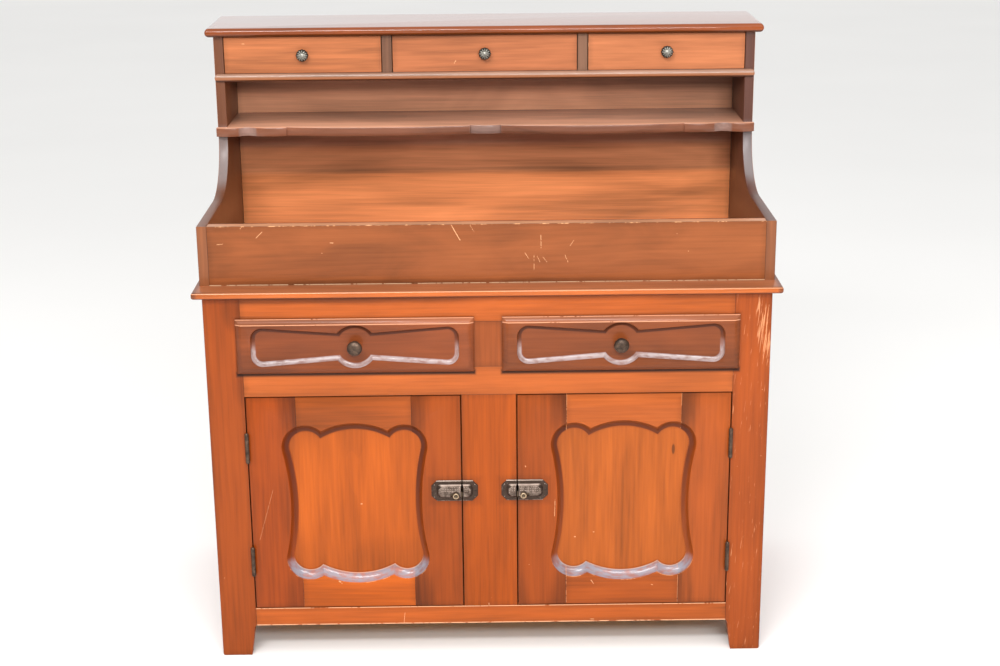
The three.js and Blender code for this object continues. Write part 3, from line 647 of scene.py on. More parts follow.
stileScrape = ((0.5260, 0.6700), (0.017, 0.084))
bottomMarks = [(-172.4, 88.6, -174.8, 66.0, 0.8), (200.0, 70.5, 206.0, 70.0, 1.2)]
panelMarks = [(167.5, 243.0, 169.0, 243.0, 1.8), (204.5, 253.0, 206.0, 253.0, 1.4)]
troughMarks = [(-453.5, 887.6, -465.5, 874.2, 1.0), (-424.4, 867.9, -436.2, 856.3, 0.9),
               (-69.3, 881.4, -50.9, 848.1, 1.3), (-31.6, 877.1, -24.2, 863.4, 0.6),
               (102.4, 856.2, 102.4, 830.8, 0.8), (89.1, 817.2, 89.0, 787.8, 0.9),
               (147.9, 816.6, 153.7, 802.8, 0.8), (94.8, 815.2, 100.4, 803.4, 0.6),
               (164.9, 845.7, 157.4, 834.1, 0.6), (72.0, 821.4, 79.5, 809.5, 0.7),
               (106.1, 813.1, 113.7, 803.2, 0.6), (-296.9, 845.1, -291.3, 845.0, 1.2),
               (-511.0, 844.0, -500.0, 845.0, 0.7), (360.0, 856.0, 364.0, 855.0, 1.0)]
smallDrawerMarks = dict(left=[(-490.5, 1175.3, -486.5, 1175.2, 1.4)],
                        middle=[(-62.2, 1132.0, -59.0, 1137.2, 1.4)], right=[])


def dressFrame():
    # Painted shade round the large drawers, laid on the stiles, muntin and rails
    leftShade, rightShade = drawerShade("left"), drawerShade("right")
    low, high = box["bottom_rail"]
    keep("left_stile", "warm", "z", soot=leftShade,
         stains=[((-0.48, 0.72), (0.03, 0.05), -0.25), ((-0.475, 0.58), (0.02, 0.06), -0.2)])
    keep("right_stile", "warm", "z", scrape=stileScrape, soot=rightShade, specks=0.86)
    keep("centre_stile", "warm", "z", marks=scratches((-3.9, 108.4, -4.0, 97.4, 1.0)),
         soot=latchDarkening("left") + latchDarkening("right"))
    keep("drawer_muntin", "warm", "z", soot=leftShade + rightShade)
    # The top rail's dark field along its top is a painted shadow of the worktop's overhang
    keep("top_rail", "warm", "x", soot=leftShade + rightShade, stains=[((-0.3, 0.745), (0.6, 0.014), -0.30)])
    keep("middle_rail", "warm", "x", soot=leftShade + rightShade, stains=[((-0.25, 0.58), (0.3, 0.03), 0.12)])
    keep("bottom_rail", "warm", "x", marks=scratches(*bottomMarks),
         lines=[(2, low.z + 1.2 * mm, 2.6 * mm, 0.75, "d9a27c"),
                (2, high.z - 0.8 * mm, 1.6 * mm, 0.8, "e2a981")])
    for hand in ("left", "right"):
        keep(hand + "_side_panel", "warm", "z")
        keep(hand + "_divider", "brown", "z")
    keep("left_door_panel", "panel", "z", marks=scratches((-253.5, 319.0, -252.0, 319.0, 1.8)),
         stains=[((-0.36, 0.36), (0.035, 0.15), 0.22), ((-0.20, 0.20), (0.10, 0.06), -0.12)])
    keep("right_door_panel", "panel", "z", marks=scratches(*panelMarks),
         stains=[((0.36, 0.427), (0.004, 0.013), -0.75)])
    # A lighter tint on the trough front's top face is a painted highlight along the rim
    keep("trough_front", "brown", "x", ease=1.0 * mm, marks=scratches(*troughMarks), blotch=0.75, bands=0.2,
         streaks=0.3, specks=0.9, mottle=2.2, drift=(0, 0.0, 0.5, 0.10), worn=[(2, 1, 1.8 * mm, 0.40)],
         lines=[(2, box["worktop"][1].z + mm, 1.5 * mm, 0.72, "bd9f80")],
         haze=[(2, box["trough_front"][1].z - 0.4 * mm, 1, 0.3 * mm, 0.9, "c08866")],
         stains=[((0.0, 0.80), (0.35, 0.05), 0.08), ((-0.52, 0.84), (0.06, 0.08), -0.12),
                 ((0.0, 0.765), (0.8, 0.010), -0.3)])
    # The back board's first four zones are painted light and shade: paler tints below the shelf and above it
    # in the pigeonhole, where the shelf and the deck shade the board, and a darker tint high under the deck;
    # the last zone is the colour of its edges and back. Its darker bands along the shelf's shadow edges and
    # the lighter field below them are painted shade and light, partly stain
    rear = box["back_board"][0].y + 1.5 * mm
    keep("back_board", "brown", "x", bands=0.6, blotch=1.2, runs=1.2,
         haze=[(2, 0.990, 1.2, 0.01, 0.9, "cd9372"), (2, 1.052, 1.2, 0.014, 0.75, "95644c"),
               (2, 0.93, 0.99, 0.012, 0.9, "c99a80"), (2, 0.872, 0.93, 0.008, 0.7, "cc8a62"),
               (1, rear, rear + 0.1, 0.4 * mm, 1.0, "8f6240")],
         stains=[((0.05, 0.876), (0.7, 0.009), -0.2), ((-0.3, 0.935), (0.3, 0.012), -0.12),
                 ((0.0, 0.838), (0.6, 0.03), 0.12)])
    keep("cupboard_floor", "inside", "x")
    keep("dust_board", "inside", "y")


def dressDrawers():
    for name in ("left", "middle", "right"):
        keep(name + "_small_drawer_front", "panel", "x", ease=1.6 * mm, rings=60, late=0.05, seam=0.7,
             marks=scratches(*smallDrawerMarks[name]))
        keep(name + "_small_drawer_box", "inside", "x", ease=0.3 * mm)
    for name in ("left", "right"):
        keep(name + "_large_drawer_box", "inside", "y", ease=0.3 * mm)


dressFrame()
dressDrawers()
print("kept boards dressed")


# Worktop, top board, deck: boards with a rounded nose on the front and both ends
worktopLook = lengths(nose=4.5, rise=4.5, corner=3)
topBoardLook = lengths(nose=8, rise=9, corner=3)
deckLook = lengths(nose=6, rise=8)
noseSteps = 8
cutSpare = 2 * mm
housing = 3 * mm
dado = 6 * mm
tongueEnd = dado - 0.3 * mm - box["left_side_board"][1].x
upperFront = box["middle_small_drawer_front"][0].y


def noseLevels(low, high, look):
    lower = arc(0, low + look["rise"], look["nose"], look["rise"], -right, 0, noseSteps)
    upper = arc(0, high - look["rise"], look["nose"], look["rise"], 0, right, noseSteps)
    levels = lower + upper[1 if look["rise"] * 2 >= high - low - mm else 0:]
    return [(look["nose"] - reach, height) for reach, height in levels]


def roundedPlan(low, high, draw, corner):
    x0, x1, y0 = low.x + draw, high.x - draw, low.y + draw
    front = arc(x0 + corner, y0 + corner, corner, corner, 2 * right, 3 * right, 5)
    front += arc(x1 - corner, y0 + corner, corner, corner, -right, 0, 5)
    return front + [(x1, high.y), (x0, high.y)]


def nosedBoard(name, part, look):
    low, high = box[part]
    return throughRings(name, [[(x, y, z) for x, y in roundedPlan(low, high, draw, look["corner"])]
                               for draw, z in noseLevels(low.z, high.z, look)])


def slotFor(part, bottom, top, rear=None):  # a cutter for a board that stands in the worktop
    low, high = box[part]
    return cutter((low.x, low.y, bottom), (high.x, rear or high.y, top))


def makeWorktop():
    low, high = box["worktop"]
    floor, top, rear = high.z - housing, high.z + cutSpare, high.y + cutSpare
    piece = nosedBoard("worktopBoard", "worktop", worktopLook)
    carve(piece, slotFor("back_board", low.z - cutSpare, top, rear), slotFor("trough_front", floor, top),
          slotFor("left_side_board", floor, top, rear), slotFor("right_side_board", floor, top, rear))
    # A painted highlight along the nose and painted shade along its lower edge
    lines = [(2, high.z - 1.9 * mm, 1.3 * mm, 2.0, "cf8f66"),
             (2, low.z + 1.2 * mm, 2.4 * mm, 1.0, "6b3215")]
    haze = [(2, low.z, high.z - 2.8 * mm, 0.4 * mm, 0.9, "bd6026"),
            (0, low.x - mm, low.x + 9 * mm, 4 * mm, 0.75, "6b3a22"),
            (0, high.x - 9 * mm, high.x + mm, 4 * mm, 0.75, "6b3a22")]
    done(piece, "worktop",
         wood("worktop", "warm", "x", seam=0.85, polish=0.12, coat=0.3, lines=lines, haze=haze))


def makeTopBoard():
    low, high = box["top_board"]
    # Painted shade along the nose's lower curve
    lines = [(2, low.z + 2.5 * mm, 5.0 * mm, 2.0, "4f260e")]
    done(nosedBoard("topBoard", "top_board", topBoardLook), "top_board",
         wood("top_board", "brown", "x", seam=0.9, coat=1.0, rough=0.25, polish=0.08, bend=2.3, specks=0.99,
              lines=lines, sheen=high.z - 1.2 * mm))


# The deck and the shelf have tongues at their ends that stand in the side boards
def makeDeck():
    low, high = box["drawer_deck"]
    rings = []
    for draw, z in noseLevels(low.z, high.z, deckLook):
        end, nose = high.x - draw, low.y + draw
        half = [(end, nose), (end, upperFront), (tongueEnd, upperFront), (tongueEnd, high.y)]
        rings.append([(x, y, z) for x, y in half + mirrored(half)])
    # A mid-brown band on the nose, and painted shade along its lower edge
    lines = [(2, low.z + 6 * mm, 7 * mm, 2.0, "955c3a"), (2, low.z + 2 * mm, 5 * mm, 2.0, "4a2614")]
    done(throughRings("drawerDeck", rings), "drawer_deck",
         wood("drawer_deck", "brown", "x", seam=0.9, coat=0.5, lines=lines))


shelfLook = dict(lengths(centreWidth=63, centreRise=6, longRise=15, outerWidth=62, outerRise=5, coveWidth=35,
                         coveRise=7, endWidth=46, endRise=5, notch=4, projection=11, ease=1.6), steps=18)


def bow(x0, x1, y, rise, steps):
    reach = (x1 - x0) / 2
    radius = (reach * reach + rise * rise) / (2 * rise)
    swing = math.asin(reach / radius)
    return arc((x0 + x1) / 2, y + radius - rise, radius, radius, -right - swing, swing - right, steps)


def makeShelf(look):
    low, high = box["scalloped_shelf"]
    base, end, steps = upperFront - look["projection"], high.x, look["steps"]
    cove = end - look["endWidth"] - look["coveWidth"]
    coveEnd, outer, half = cove + look["coveWidth"], cove - look["outerWidth"], look["centreWidth"] / 2
    edge = bow(half, outer, base + look["notch"], look["longRise"], 2 * steps)
    edge += bow(outer, cove, base, look["outerRise"], steps)
    edge += bow(cove, coveEnd, base, -look["coveRise"], steps)[1:]
    edge += bow(coveEnd, end, base, look["endRise"], steps)[1:]
    middle = bow(-half, half, base + 2 * look["notch"], look["centreRise"], steps)
    front = mirrored(edge) + middle + edge
    rest = [(end, upperFront), (tongueEnd, upperFront), (tongueEnd, high.y)]
    rest += mirrored(rest)
    ease = look["ease"]
    levels = [(ease * (1 - math.sin(a)), low.z + ease * (1 - math.cos(a))) for a in (0, right / 2, right)]
    levels += [(draw, low.z + high.z - z) for draw, z in reversed(levels)]
    rings = [[(x, y + draw, z) for x, y in front] + [(x, y, z) for x, y in rest] for draw, z in levels]
    # Painted grey glints on the end coves and the middle of the front edge, and a painted sheen on the top
    # face
    glints = ((-coveEnd, -cove), (-half, half), (cove, coveEnd))
    haze = [(0, start, stop, 3 * mm, 0.4, "a08d86") for start, stop in glints]
    haze.append((2, high.z - 0.5 * mm, 1.1, 0.3 * mm, 1.0, "d49a7c"))
    done(throughRings("scallopedShelf", rings), "scalloped_shelf",
         wood("scalloped_shelf", "brown", "x", seam=1.0, coat=0.45, haze=haze,
              drift=(1, base + 0.03, base + 0.13, -0.35)), sharp=40)


# Side boards, with a long hollow sweep from the upper part down to the trough
sideLook = dict(lengths(sweepDepth=128, sweepHeight=106, ease=1.0), steps=40)


def makeSideBoard(hand, sign, look):
    part = hand + "_side_board"
    low, high = box[part]
    rim, depth, ease = box["trough_front"][1].z, look["sweepDepth"], look["ease"]
    sweepTop = rim + look["sweepHeight"]
    outline = [(low.y, low.z), (high.y, low.z), (high.y, high.z), (upperFront, high.z)]
    outline += arc(upperFront - depth, sweepTop, depth, look["sweepHeight"], 0, -right, look["steps"])
    outline.append((low.y, rim))
    inward = []
    for before, after in zip(outline[-1:] + outline[:-1], outline[1:] + outline[:1]):
        along = (Vector(after) - Vector(before)).normalized()
        inward.append((-along.y, along.x))
    slices = [(low.x, ease), (low.x + ease * 0.3, ease * 0.3), (low.x + ease, 0)]
    slices += [(low.x + high.x - x, draw) for x, draw in reversed(slices)]
    piece = throughRings(hand + "SideBoard", [[(x, y + dy * draw, z + dz * draw) for (y, z), (dy, dz)
                                               in zip(outline, inward)] for x, draw in slices])
    inner, outer = (high.x, low.x) if sign < 0 else (low.x, high.x)
    for other in ("scalloped_shelf", "drawer_deck"):
        bottom, top = box[other]
        carve(piece, cutter((inner - sign * cutSpare, upperFront - cutSpare, bottom.z),
                            (inner + sign * dado, top.y, top.z)))
    haze = [(1, low.y - mm, low.y + 2 * mm, 0.5 * mm, 1.0, "824a28"),
            (0, outer - mm, outer + mm, 0.4 * mm, 1.0, "7d4421")]
    # The sweep's edge is greyed: patina and a painted reflection
    done(piece, part,
         wood(part, "brown", "z", coat=0.5, polish=0.35, haze=haze,
              patinaAndSheen=(0, 0.6, "8d8b8c", rim + 2 * mm, sweepTop + 0.03)), sharp=40)


makeWorktop()
makeTopBoard()
makeDeck()
makeShelf(shelfLook)
makeSideBoard("left", -1, sideLook)
makeSideBoard("right", 1, sideLook)
print("worktop, top board, deck, shelf and side boards made")


# Doors: four members round a scalloped opening with a hollow cove
doorLook = dict(lengths(lobeInset=110.5, topRadius=45.5, topDrop=103.4, topCusp=33, bottomRadius=45,
                        bottomLift=103.9, bottomCusp=36.4, sideRadius=500, cove=13, coveDepth=14, ease=0.9,
                        fit=0.3), topCrown=0.247, bottomCrown=0.237, hollow=0.6, tall=0.3,
                coveSteps=9, crownSteps=14, lobeSteps=24, sideSteps=22)
# The door cove's painted light: side and dark the painted shade on its sides and in its upper part, silver
# and tint the painted reflection in its lower part, lip the painted highlight on its inner lip
doorCove = dict(blend=0.012, side=0.28, dark=0.8, silver=0.80, lip=0.35, tint="868a96")
doorMarks = dict(
    left_door_hinge_stile=[(-423.8, 357.2, -454.5, 251.3, 0.32), (-388.0, 325.0, -390.0, 287.0, 0.9)],
    right_door_latch_stile=[(69.0, 401.0, 70.5, 400.0, 1.8), (128.0, 330.0, 127.0, 295.0, 0.8)],
    right_door_bottom_rail=[(200.0, 156.0, 205.0, 148.0, 1.0), (320.0, 145.0, 323.0, 144.0, 1.2)],
    left_door_bottom_rail=[(-301.0, 160.0, -296.0, 156.0, 2.0)],
)


def meeting(first, firstRadius, second, secondRadius, side):
    dx, dz = second[0] - first[0], second[1] - first[1]
    apart = math.hypot(dx, dz)
    along = (apart ** 2 + firstRadius ** 2 - secondRadius ** 2) / (2 * apart)
    off = side * math.sqrt(firstRadius ** 2 - along ** 2)
    return (first[0] + (along * dx - off * dz) / apart, first[1] + (along * dz + off * dx) / apart)


def bearing(point, centre):
    return math.atan2(point[1] - centre[1], point[0] - centre[0])


# Half the opening runs over a crown, a lobe, a bowed side, another lobe and crown, each an arc
def openingOutline(look, width, bottom, top, grow):
    reach = width / 2 - look["lobeInset"]

    def lobeAndCrown(end, sign, height):
        lobe, radius, off = (reach, height), look[end + "Radius"], look[end + "Cusp"]
        across = reach - math.sqrt(radius ** 2 - off ** 2)
        rise = look[end + "Crown"] * across
        crownRadius = (across ** 2 + rise ** 2) / (2 * rise)
        peak = height + sign * (off + rise)
        crown = (0, peak - sign * crownRadius)
        cusp = meeting(crown, crownRadius + grow, lobe, radius + grow, sign)
        return peak, lobe, crown, crownRadius + grow, cusp

    def sweep(centre, radius, start, end, steps, turn=0.0):
        return arc(*centre, radius, radius, bearing(start, centre) + turn, bearing(end, centre), steps)[1:]
    lowest, lowLobe, lowCrown, lowRound, lowCusp = lobeAndCrown("bottom", -1, bottom + look["bottomLift"])
    highest, topLobe, topCrown, topRound, topCusp = lobeAndCrown("top", 1, top - look["topDrop"])
    side, lowRadius, topRadius = look["sideRadius"], look["bottomRadius"], look["topRadius"]
    bowed = meeting(lowLobe, side + lowRadius, topLobe, side + topRadius, -1)
    half = [(lowCrown[0], lowCrown[1] - lowRound)]
    half += sweep(lowCrown, lowRound, (0, lowest), lowCusp, look["crownSteps"])
    half += sweep(lowLobe, lowRadius + grow, lowCusp, bowed, look["lobeSteps"])
    half += sweep(bowed, side - grow, lowLobe, topLobe, look["sideSteps"], 4 * right)
    half += sweep(topLobe, topRadius + grow, bowed, topCusp, look["lobeSteps"])
    half += sweep(topCrown, topRound, topCusp, (0, highest), look["crownSteps"])
    middle, squeeze = (highest + lowest) / 2, 1 + 2 * look["tall"] * grow / (highest - lowest)
    return [(x, middle + (z - middle) * squeeze) for x, z in half + mirrored(half[1:-1])]


# How far a cut stands outside its outline at each depth: an eased arris, then the cove
def coveLevels(cove, depth, hollow, ease, steps):
    levels = [(ease, -cutSpare), (ease, 0)]
    levels += [(ease * (1 - math.sin(a)), ease * (1 - math.cos(a))) for a in (right / 3, right * 2 / 3)]
    for i in range(steps + 1):
        angle, flat = right * i / steps, i / steps
        out = cove * (hollow * math.cos(angle) + (1 - hollow) * (1 - flat))
        deep = depth * (hollow * math.sin(angle) + (1 - hollow) * flat)
        if deep > ease * 0.8:
            levels.append((out - cove, deep))
    return levels


def makeDoor(hand, look):
    door = hand + "_door_"
    parts = [door + member for member in ("hinge_stile", "latch_stile", "top_rail", "bottom_rail")]
    low = Vector([min(box[part][0][i] for part in parts) for i in range(3)])
    high = Vector([max(box[part][1][i] for part in parts) for i in range(3)])
    middle = (low.x + high.x) / 2
    levels = coveLevels(look["cove"], look["coveDepth"], look["hollow"], look["ease"], look["coveSteps"])
    levels.append((-look["cove"], high.y - low.y + cutSpare))
    opening = throughRings("cut", [[(middle + x, low.y + depth, z) for x, z in
                                    openingOutline(look, high.x - low.x, low.z, high.z, grow)]
                                   for grow, depth in levels])
    fit = Vector((look["fit"],) * 3)
    panelLow, panelHigh = box[door + "panel"]
    groove = cutter(panelLow - fit, panelHigh + fit)
    cove = dict(doorCove, start=low.y, depth=look["coveDepth"], turn=low.z + 0.095, top=high.z - 0.09)
    for part in parts:
        ends = [end.x for end in box[part]]
        piece = carve(board(titled(part), *box[part]), copied(opening), copied(groove))
        changes = dict(cove=cove, marks=scratches(*doorMarks.get(part, ())))
        if "stile" in part:  # darker beside the joints with the rails
            joint = min(ends, key=lambda x: abs(x - middle))
            changes["stains"] = [((joint, end), (0.045, 0.12), change)
                                 for end, change in ((high.z, -0.30), (low.z, -0.26))]
        elif hand == "right":
            changes["lines"] = [(0, end, 2 * mm, 0.6, "d08a5c") for end in ends]
        if "latch" in part:
            changes["soot"] = latchDarkening(hand, ["case"])
        grain = "z" if "stile" in part else "x"
        done(piece, part, wood(part, "warm", grain, **changes), sharp=28)
    bpy.data.objects.remove(opening)
    bpy.data.objects.remove(groove)


makeDoor("left", doorLook)
makeDoor("right", doorLook)
print("doors made")


# Large drawer fronts: a lipped, bevelled board with a bow-tie recess
drawerLook = dict(lengths(inset=11.5, edge=3.5, bevel=11, ease=0.7, proud=10, endMargin=28.5, sideMargin=16.5,
                          corner=22, waist=24.5, round=43, cove=11, depth=9),
                  coveSteps=8, cornerSteps=12, roundSteps=72)
# The recess's painted light: side and dark the painted shade at its ends and in its upper part, silver and
# tint the painted reflection in its lower part
drawerCove = dict(blend=0.015, side=0.20, dark=0.75, silver=0.68, tint="b2a6a6")
drawerMarks = dict(left=[], right=[(149.5, 667.0, 151.0, 667.0, 1.8)])


def roundHull(circles, grow, steps):
    leaving = []
    for (x, z, radius), (nextX, nextZ, nextRadius) in zip(circles, circles[1:] + circles[:1]):
        apart = math.hypot(nextX - x, nextZ - z)
        leaving.append(math.atan2(nextZ - z, nextX - x) - math.acos((radius - nextRadius) / apart))
    points = []
    for i, (x, z, radius) in enumerate(circles):
        start = leaving[i - 1]
        turn = (leaving[i] - start) % (4 * right)
        points += arc(x, z, radius + grow, radius + grow, start, start + turn, steps)
    return points


def makeDrawerFront(hand, look):
    part = hand + "_large_drawer_front"
    low, high = box[part]
    middle = (low + high) / 2
    ease, slope, inset, corner = look["ease"], look["bevel"], look["inset"], look["corner"]
    front = low.y + look["proud"]
    edge, rise = front - look["edge"], look["proud"] - look["edge"]
    levels = [(high.y, inset), (front, inset), (front, ease), (front - ease, 0), (edge + ease * 0.6, 0),
              (edge - ease * 0.3, ease * 0.6), (low.y + ease * 0.5 * rise / slope, slope - ease * 0.5),
              (low.y, slope + ease)]
    rings = []
    for y, draw in levels:
        x0, x1, z0, z1 = low.x + draw, high.x - draw, low.z + draw, high.z - draw
        rings.append([(x0, y, z0), (x1, y, z0), (x1, y, z1), (x0, y, z1)])
    piece = throughRings(hand + "LargeDrawerFront", rings)
    halfLength = (high.x - low.x) / 2 - look["endMargin"]
    end, up = halfLength - corner, (high.z - low.z) / 2 - look["sideMargin"] - corner
    wing = [(0, 0, look["waist"]), (end, -up, corner), (end, up, corner)]

    levels = coveLevels(look["cove"], look["depth"], 1.0, ease, look["coveSteps"])
    wings = [roundHull(wing, grow, look["cornerSteps"]) for grow, depth in levels]
    waist = [hoop(0, 0, look["round"] + grow, look["roundSteps"]) for grow, depth in levels]
    for sign, outlines in ((1, wings), (-1, wings), (1, waist)):
        rings = [[(middle.x + sign * x, low.y + depth, middle.z + z) for x, z in outline]
                 for outline, (grow, depth) in zip(outlines, levels)]
        carve(piece, throughRings("cut", rings))
    cove = dict(drawerCove, start=low.y, depth=look["depth"], turn=middle.z - mm, top=middle.z + 0.025,
                half=(halfLength + mm, look["round"] + 0.4 * mm))
    # A painted shadow line along the bottom, painted highlights along the top bevel's two arrises, and a
    # painted sheen on the top bevel
    lines = [(2, low.z + 0.6 * mm, 2.4 * mm, 2.0, "2a130a"),
             (2, high.z - 10.8 * mm, 2.0 * mm, 0.9, "c98d6c"), (2, high.z - mm, 1.6 * mm, 0.8, "c98d6c")]
    done(piece, part,
         wood(part, "brown", "x", seam=0.75, cove=cove, marks=scratches(*drawerMarks[hand]), lines=lines,
              haze=[(2, high.z - 11 * mm, high.z, mm, 0.6, "9a5a38")], coat=0.2), sharp=28)


makeDrawerFront("left", drawerLook)
makeDrawerFront("right", drawerLook)
print("large drawer fronts made")


# Knobs, from shares of the radius and of the reach: a plain domed disc on the large drawers, a
# rosette on the small ones, where a third share says how deep its petals are parted
discProfile = [(0.62, 0), (0.64, 0.04), (0.60, 0.09), (0.46, 0.18), (0.40, 0.28), (0.40, 0.46),
               (0.52, 0.55), (0.84, 0.60), (0.95, 0.63), (1, 0.69), (0.99, 0.76), (0.94, 0.83),
               (0.86, 0.88), (0.66, 0.94), (0.40, 0.98), (0.12, 1)]
rosetteProfile = [(0.62, 0), (0.64, 0.05), (0.58, 0.10), (0.42, 0.22), (0.38, 0.34), (0.38, 0.48),
                  (0.60, 0.55, 0.02), (0.90, 0.60, 0.06), (0.97, 0.66, 0.08), (0.96, 0.74, 0.09),
                  (0.88, 0.83, 0.11), (0.74, 0.90, 0.14), (0.56, 0.94, 0.16), (0.42, 0.955, 0.12),
                  (0.34, 0.94), (0.30, 0.95), (0.24, 0.985), (0.10, 1)]
petals, foldDepth, discSides, rosetteSides = 12, 0.55, 56, 120


def makeKnob(part, kind, profile, sides, rub=None):
    low, high = box[part]
    centre, radius, reach = (low + high) / 2, (high.x - low.x) / 2, high.y - low.y
    rings = []
    for across, along, *depth in profile:
        fold = depth[0] if depth else 0
        ring = []
        for i in range(sides):
            angle = 4 * right * i / sides
            dip = fold * (1 - abs(math.cos(angle * petals / 2)))
            out = radius * across * (1 - dip)
            ring.append((centre.x + out * math.cos(angle), high.y - reach * (along - dip * foldDepth),
                         centre.z + out * math.sin(angle)))
        rings.append(ring)
    done(throughRings(titled(part), rings), part, metal(part, kind, rub), sharp=50)


for hand in ("left", "right"):
    makeKnob(hand + "_large_drawer_knob", "bronze", discProfile, discSides)
for place in ("left", "middle", "right"):
    face = box[place + "_small_drawer_knob"][0].y
    makeKnob(place + "_small_drawer_knob", "pewter", rosetteProfile, rosetteSides, (face + mm, face + 5 * mm))


# Butt hinges: barrel in front of the gap, thin leaves inside it
hingeLook = dict(lengths(knuckle=4, tip=3.4, leaf=0.7, fit=0.3, ease=0.5), sides=24)


def barrel(x, y, low, high, look):
    radius, ease = look["knuckle"], look["ease"]
    return upright("knuckle", x, y, [(radius - ease, low), (radius, low + ease), (radius, high - ease),
                                     (radius - ease, high)], look["sides"])


def makeHinge(name, look):
    frameLow, frameHigh = box[name + "_frame_leaf"]
    doorLow, doorHigh = box[name + "_door_leaf"]
    x, y = (doorLow.x + doorHigh.x) / 2, doorLow.y + look["knuckle"]
    tip, fit, rear = look["tip"], look["fit"], max(frameHigh.y, doorHigh.y)
    low, high = frameLow.z + tip, frameHigh.z - tip
    out = math.copysign(1, x)
    for half, sign, start, end in (("frame", out, low, high), ("door", -out, doorLow.z, doorHigh.z)):
        part = name + "_" + half + "_leaf"
        edge = x + sign * mm
        plate = board(titled(part), (edge, y, start), (edge - sign * look["leaf"], rear, end), 0)
        if half == "door":
            bits = [barrel(x, y, start, end, look)]
        else:
            bits = [barrel(x, y, low, doorLow.z - fit, look), barrel(x, y, doorHigh.z + fit, high, look)]
            for z in (low, high):
                ball = arc(0.05 * mm, z, tip, tip, -right, right, 12)
                bits.append(upright("tip", x, y, ball, look["sides"]))
        done(joined(plate, *bits), part, metal(part, "bronze"), sharp=40)


for hand in ("left", "right"):
    for place in ("upper", "lower"):
        makeHinge(hand + "_" + place + "_hinge", hingeLook)
print("knobs and hinges made")


# Cupboard latches: plates with a beaded border and a raised hood that the bolt slides in
latchLook = lengths(plate=2.2, chamfer=11, hoodHeight=29, hoodMargin=10, hoodChamfer=7, slope=3.5,
                    boltBase=1.2, boltThickness=4, boltHeight=11, boltDrop=7, travel=8, stem=3, knobBack=11,
                    knobRadius=6.5, fit=0.3, caught=12, bead=1.2, pitch=3.3, border=2.2, crest=2.2,
                    lowRow=1.4, highRow=5.2, screw=2.3, screwBack=5.2, slot=0.35, brightLine=12.6)
screwSides, buttonSides = 20, 36


def latchOutline(start, length, height, chamfer, away, middle, draw):
    inner, end, up = start + away * draw * 0.4, start + away * (length - draw), height / 2 - draw
    cut = chamfer - draw * 0.4
    lower = [(inner, -up), (end - away * cut, -up), (end, cut - up)]
    return [(x, middle + z) for x, z in lower + [(x, -z) for x, z in reversed(lower)]]


def beadRow(outline, y, look):  # small domes along an open line
    beads = []
    for (x0, z0), (x1, z1) in zip(outline, outline[1:]):
        length = math.hypot(x1 - x0, z1 - z0)
        count = max(1, round(length / look["pitch"]))
        shares = [(i + 0.5) / count for i in range(count)]
        beads += [(x0 + (x1 - x0) * share, y, z0 + (z1 - z0) * share) for share in shares]
    pieces = []
    for spot in beads:
        clearAll()
        bpy.ops.mesh.primitive_uv_sphere_add(segments=8, ring_count=5, radius=look["bead"], location=spot)
        bpy.ops.transform.resize(value=(1, 0.75, 1))
        pieces.append(bpy.context.active_object)
    return pieces


def makeLatchPlate(part, away, face, look):
    low, high = box[part]
    middle, rear, isCase = (low.z + high.z) / 2, high.y, part.endswith("case")
    start = low.x if away > 0 else high.x
    full = (high.x - low.x, high.z - low.z, look["chamfer"])
    raised = (full[0] - look["hoodMargin"], look["hoodHeight"], look["hoodChamfer"])
    top, deep, slope, fit = rear - look["plate"], rear - look["boltBase"], look["slope"], look["fit"]

    def body(name, size, levels):
        return throughRings(name, [[(x, y, z) for x, z in latchOutline(start, *size, away, middle, draw)]
                                   for y, draw in levels])
    plate = body(titled(part), full, [(rear, 0), (rear - look["plate"] * 0.7, 0), (top, 0.7 * mm)])
    hood = body("hood", raised, [(deep, 0), (top - mm, 0), (face + 0.6 * mm, slope),
                                 (face, slope + 0.8 * mm)])
    boltZ, boltFace = middle - look["boltDrop"], deep - look["boltThickness"]
    tall = look["boltHeight"] / 2 + fit
    reach = raised[0] * 0.9 if isCase else look["caught"]
    for piece in (plate, hood):
        carve(piece, cutter((start - away * cutSpare, boltFace - fit, boltZ - tall),
                            (start + away * reach, deep + fit, boltZ + tall)))
    if isCase:  # the slot that the bolt's knob slides in
        knobX, room = start + away * look["knobBack"], look["stem"] + fit
        carve(hood, cutter((knobX - away * room, face - cutSpare, boltZ - room),
                           (knobX + away * (look["travel"] + room), boltFace, boltZ + room)))
    rim = latchOutline(start, *full, away, middle, look["border"])
    crest = latchOutline(start, *raised, away, middle, slope + look["crest"])
    bits = [hood] + beadRow(rim, top, look)
    bits += beadRow(crest[3:] if isCase else crest[2:], face + 0.2 * mm, look)
    ends = (start + away * 3 * mm, start + away * (raised[0] - slope - 6 * mm))
    for rise in (look["lowRow"], look["highRow"]):
        bits += beadRow([(x, middle + rise) for x in ends], face + 0.1 * mm, look)
    screwX, screw, slot = start + away * (full[0] - look["screwBack"]), look["screw"], look["slot"]
    head = [(screw, top), (screw, top - 0.5 * mm), (screw * 0.7, top - mm), (screw * 0.2, top - 1.2 * mm)]
    bits.append(carve(facing("screw", screwX, middle, head, screwSides),
                      cutter((screwX - screw, top - 3 * mm, middle - slot),
                             (screwX + screw, top - 0.6 * mm, middle + slot))))
    # Painted highlights along the plate's top and bottom edges and the hood's upper and lower edges, brighter
    # at the top
    off, depth = look["brightLine"], top - 0.4 * mm
    paintedHighlights = [(high.z - mm, 1.6 * mm, 0.45, rear), (middle + off, 2.6 * mm, 0.4, depth),
              (middle - off, 1.8 * mm, 0.25, depth), (low.z + mm, 1.4 * mm, 0.2, rear)]
    done(joined(plate, *bits), part,
         metal(part, "latch", (face - 0.6 * mm, face + 0.5 * mm), paintedHighlights), sharp=35)


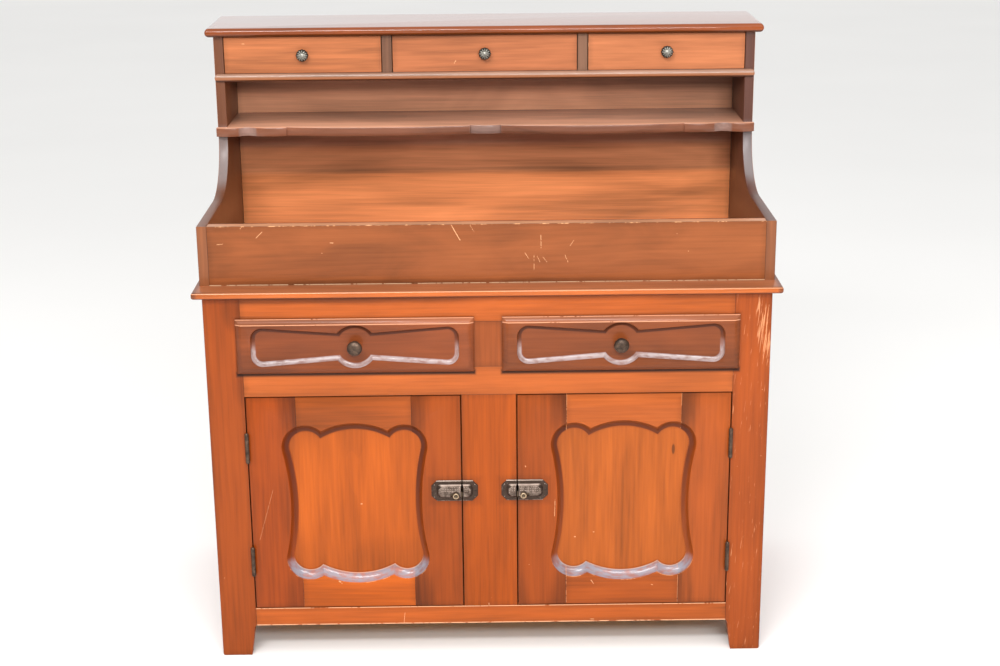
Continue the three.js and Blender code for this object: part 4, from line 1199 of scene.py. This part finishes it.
def makeLatchBolt(part, sign, case, look):
    low, high = box[part]
    caseLow, caseHigh = case
    hoodFace, rear, tip = caseLow.y, caseHigh.y - look["boltBase"], low.y
    boltZ, face = (caseLow.z + caseHigh.z) / 2 - look["boltDrop"], rear - look["boltThickness"]
    tall, stem, radius = look["boltHeight"] / 2, look["stem"], look["knobRadius"]
    knobX = (caseLow.x if sign > 0 else caseHigh.x) + sign * look["knobBack"]
    bar = board(titled(part), (low.x, face, boltZ - tall), (high.x, rear, boltZ + tall), 0.4 * mm)
    under = hoodFace - look["fit"]
    profile = [(0.9, under - 0.1 * mm), (1, hoodFace - 1.2 * mm), (1, tip + 2.2 * mm),
               (0.93, tip + 0.7 * mm), (0.78, tip), (0.62, tip + 0.2 * mm), (0.5, tip + 1.4 * mm),
               (0.3, tip + 2.0 * mm), (0.1, tip + 2.1 * mm)]
    button = [(stem, face + 0.5 * mm), (stem, under)] + [(radius * share, y) for share, y in profile]
    knob = facing("button", knobX, boltZ, button, buttonSides)
    done(joined(bar, knob), part, metal(part, "brass", (tip, tip + 2 * mm)), sharp=40)


for hand, sign in (("left", -1), ("right", 1)):
    case = box[hand + "_latch_case"]
    makeLatchPlate(hand + "_latch_case", sign, case[0].y, latchLook)
    makeLatchPlate(hand + "_latch_keeper", -sign, case[0].y, latchLook)
    makeLatchBolt(hand + "_latch_bolt", sign, case, latchLook)
print("latches made")


# Plain pale floor, soft light and a pale surround that is darker in front
stageLook = dict(floor="f9f8f6", cloud=0.7, reach=120, surround=1.0)
lights = dict(key=dict(place=(-0.9, -3.1, 3.05), aim=(0, 0, 0.8), size=(1.6, 0.5), power=92),
              fill=dict(place=(0.7, -3.3, 2.10), aim=(0, 0, 0.8), size=(1.4, 0.5), power=62),
              ceiling=dict(place=(0, -1.9, 3.4), aim=(0, -0.2, 0.6), size=(4.2, 2.4), power=40))


def areaLight(name, place, aim, size, power):
    clearAll()
    bpy.ops.object.light_add(type="AREA", location=place)
    light = named(name)
    light.data.shape = "RECTANGLE"
    light.data.size, light.data.size_y = size
    light.data.energy = power
    light.rotation_euler = (Vector(aim) - Vector(place)).to_track_quat("-Z", "Y").to_euler()


def makeStage(look):
    clearAll()
    bpy.ops.mesh.primitive_plane_add(size=look["reach"])
    floor = named("floor")
    finish = Finish(bpy.data.materials.new("floor_paint"))
    finish.place()
    shade = finish.mix(finish.evenNoise(look["cloud"]), paint(look["floor"]), paint(look["floor"], 0.94))
    floor.data.materials.append(finish.surface(Base_Color=shade, Roughness=0.8))
    for name, light in lights.items():
        areaLight(name, **light)
    world = bpy.data.worlds.new("surround")
    bpy.context.scene.world = world
    sky = Finish(world)
    x, y, z = sky.place(0)
    glow = y.step(-0.6, 0.3, 0.16, 0.95).atLeast(z.step(0.15, 0.7, 0.0, 0.95))
    back = sky.node("ShaderNodeBackground", None, {0: sky.vector(glow, glow, glow), 1: look["surround"]})
    sky.node("ShaderNodeOutputWorld", None, {0: back})
    bpy.context.scene.view_settings.view_transform = "Standard"


makeStage(stageLook)
print("stage set")
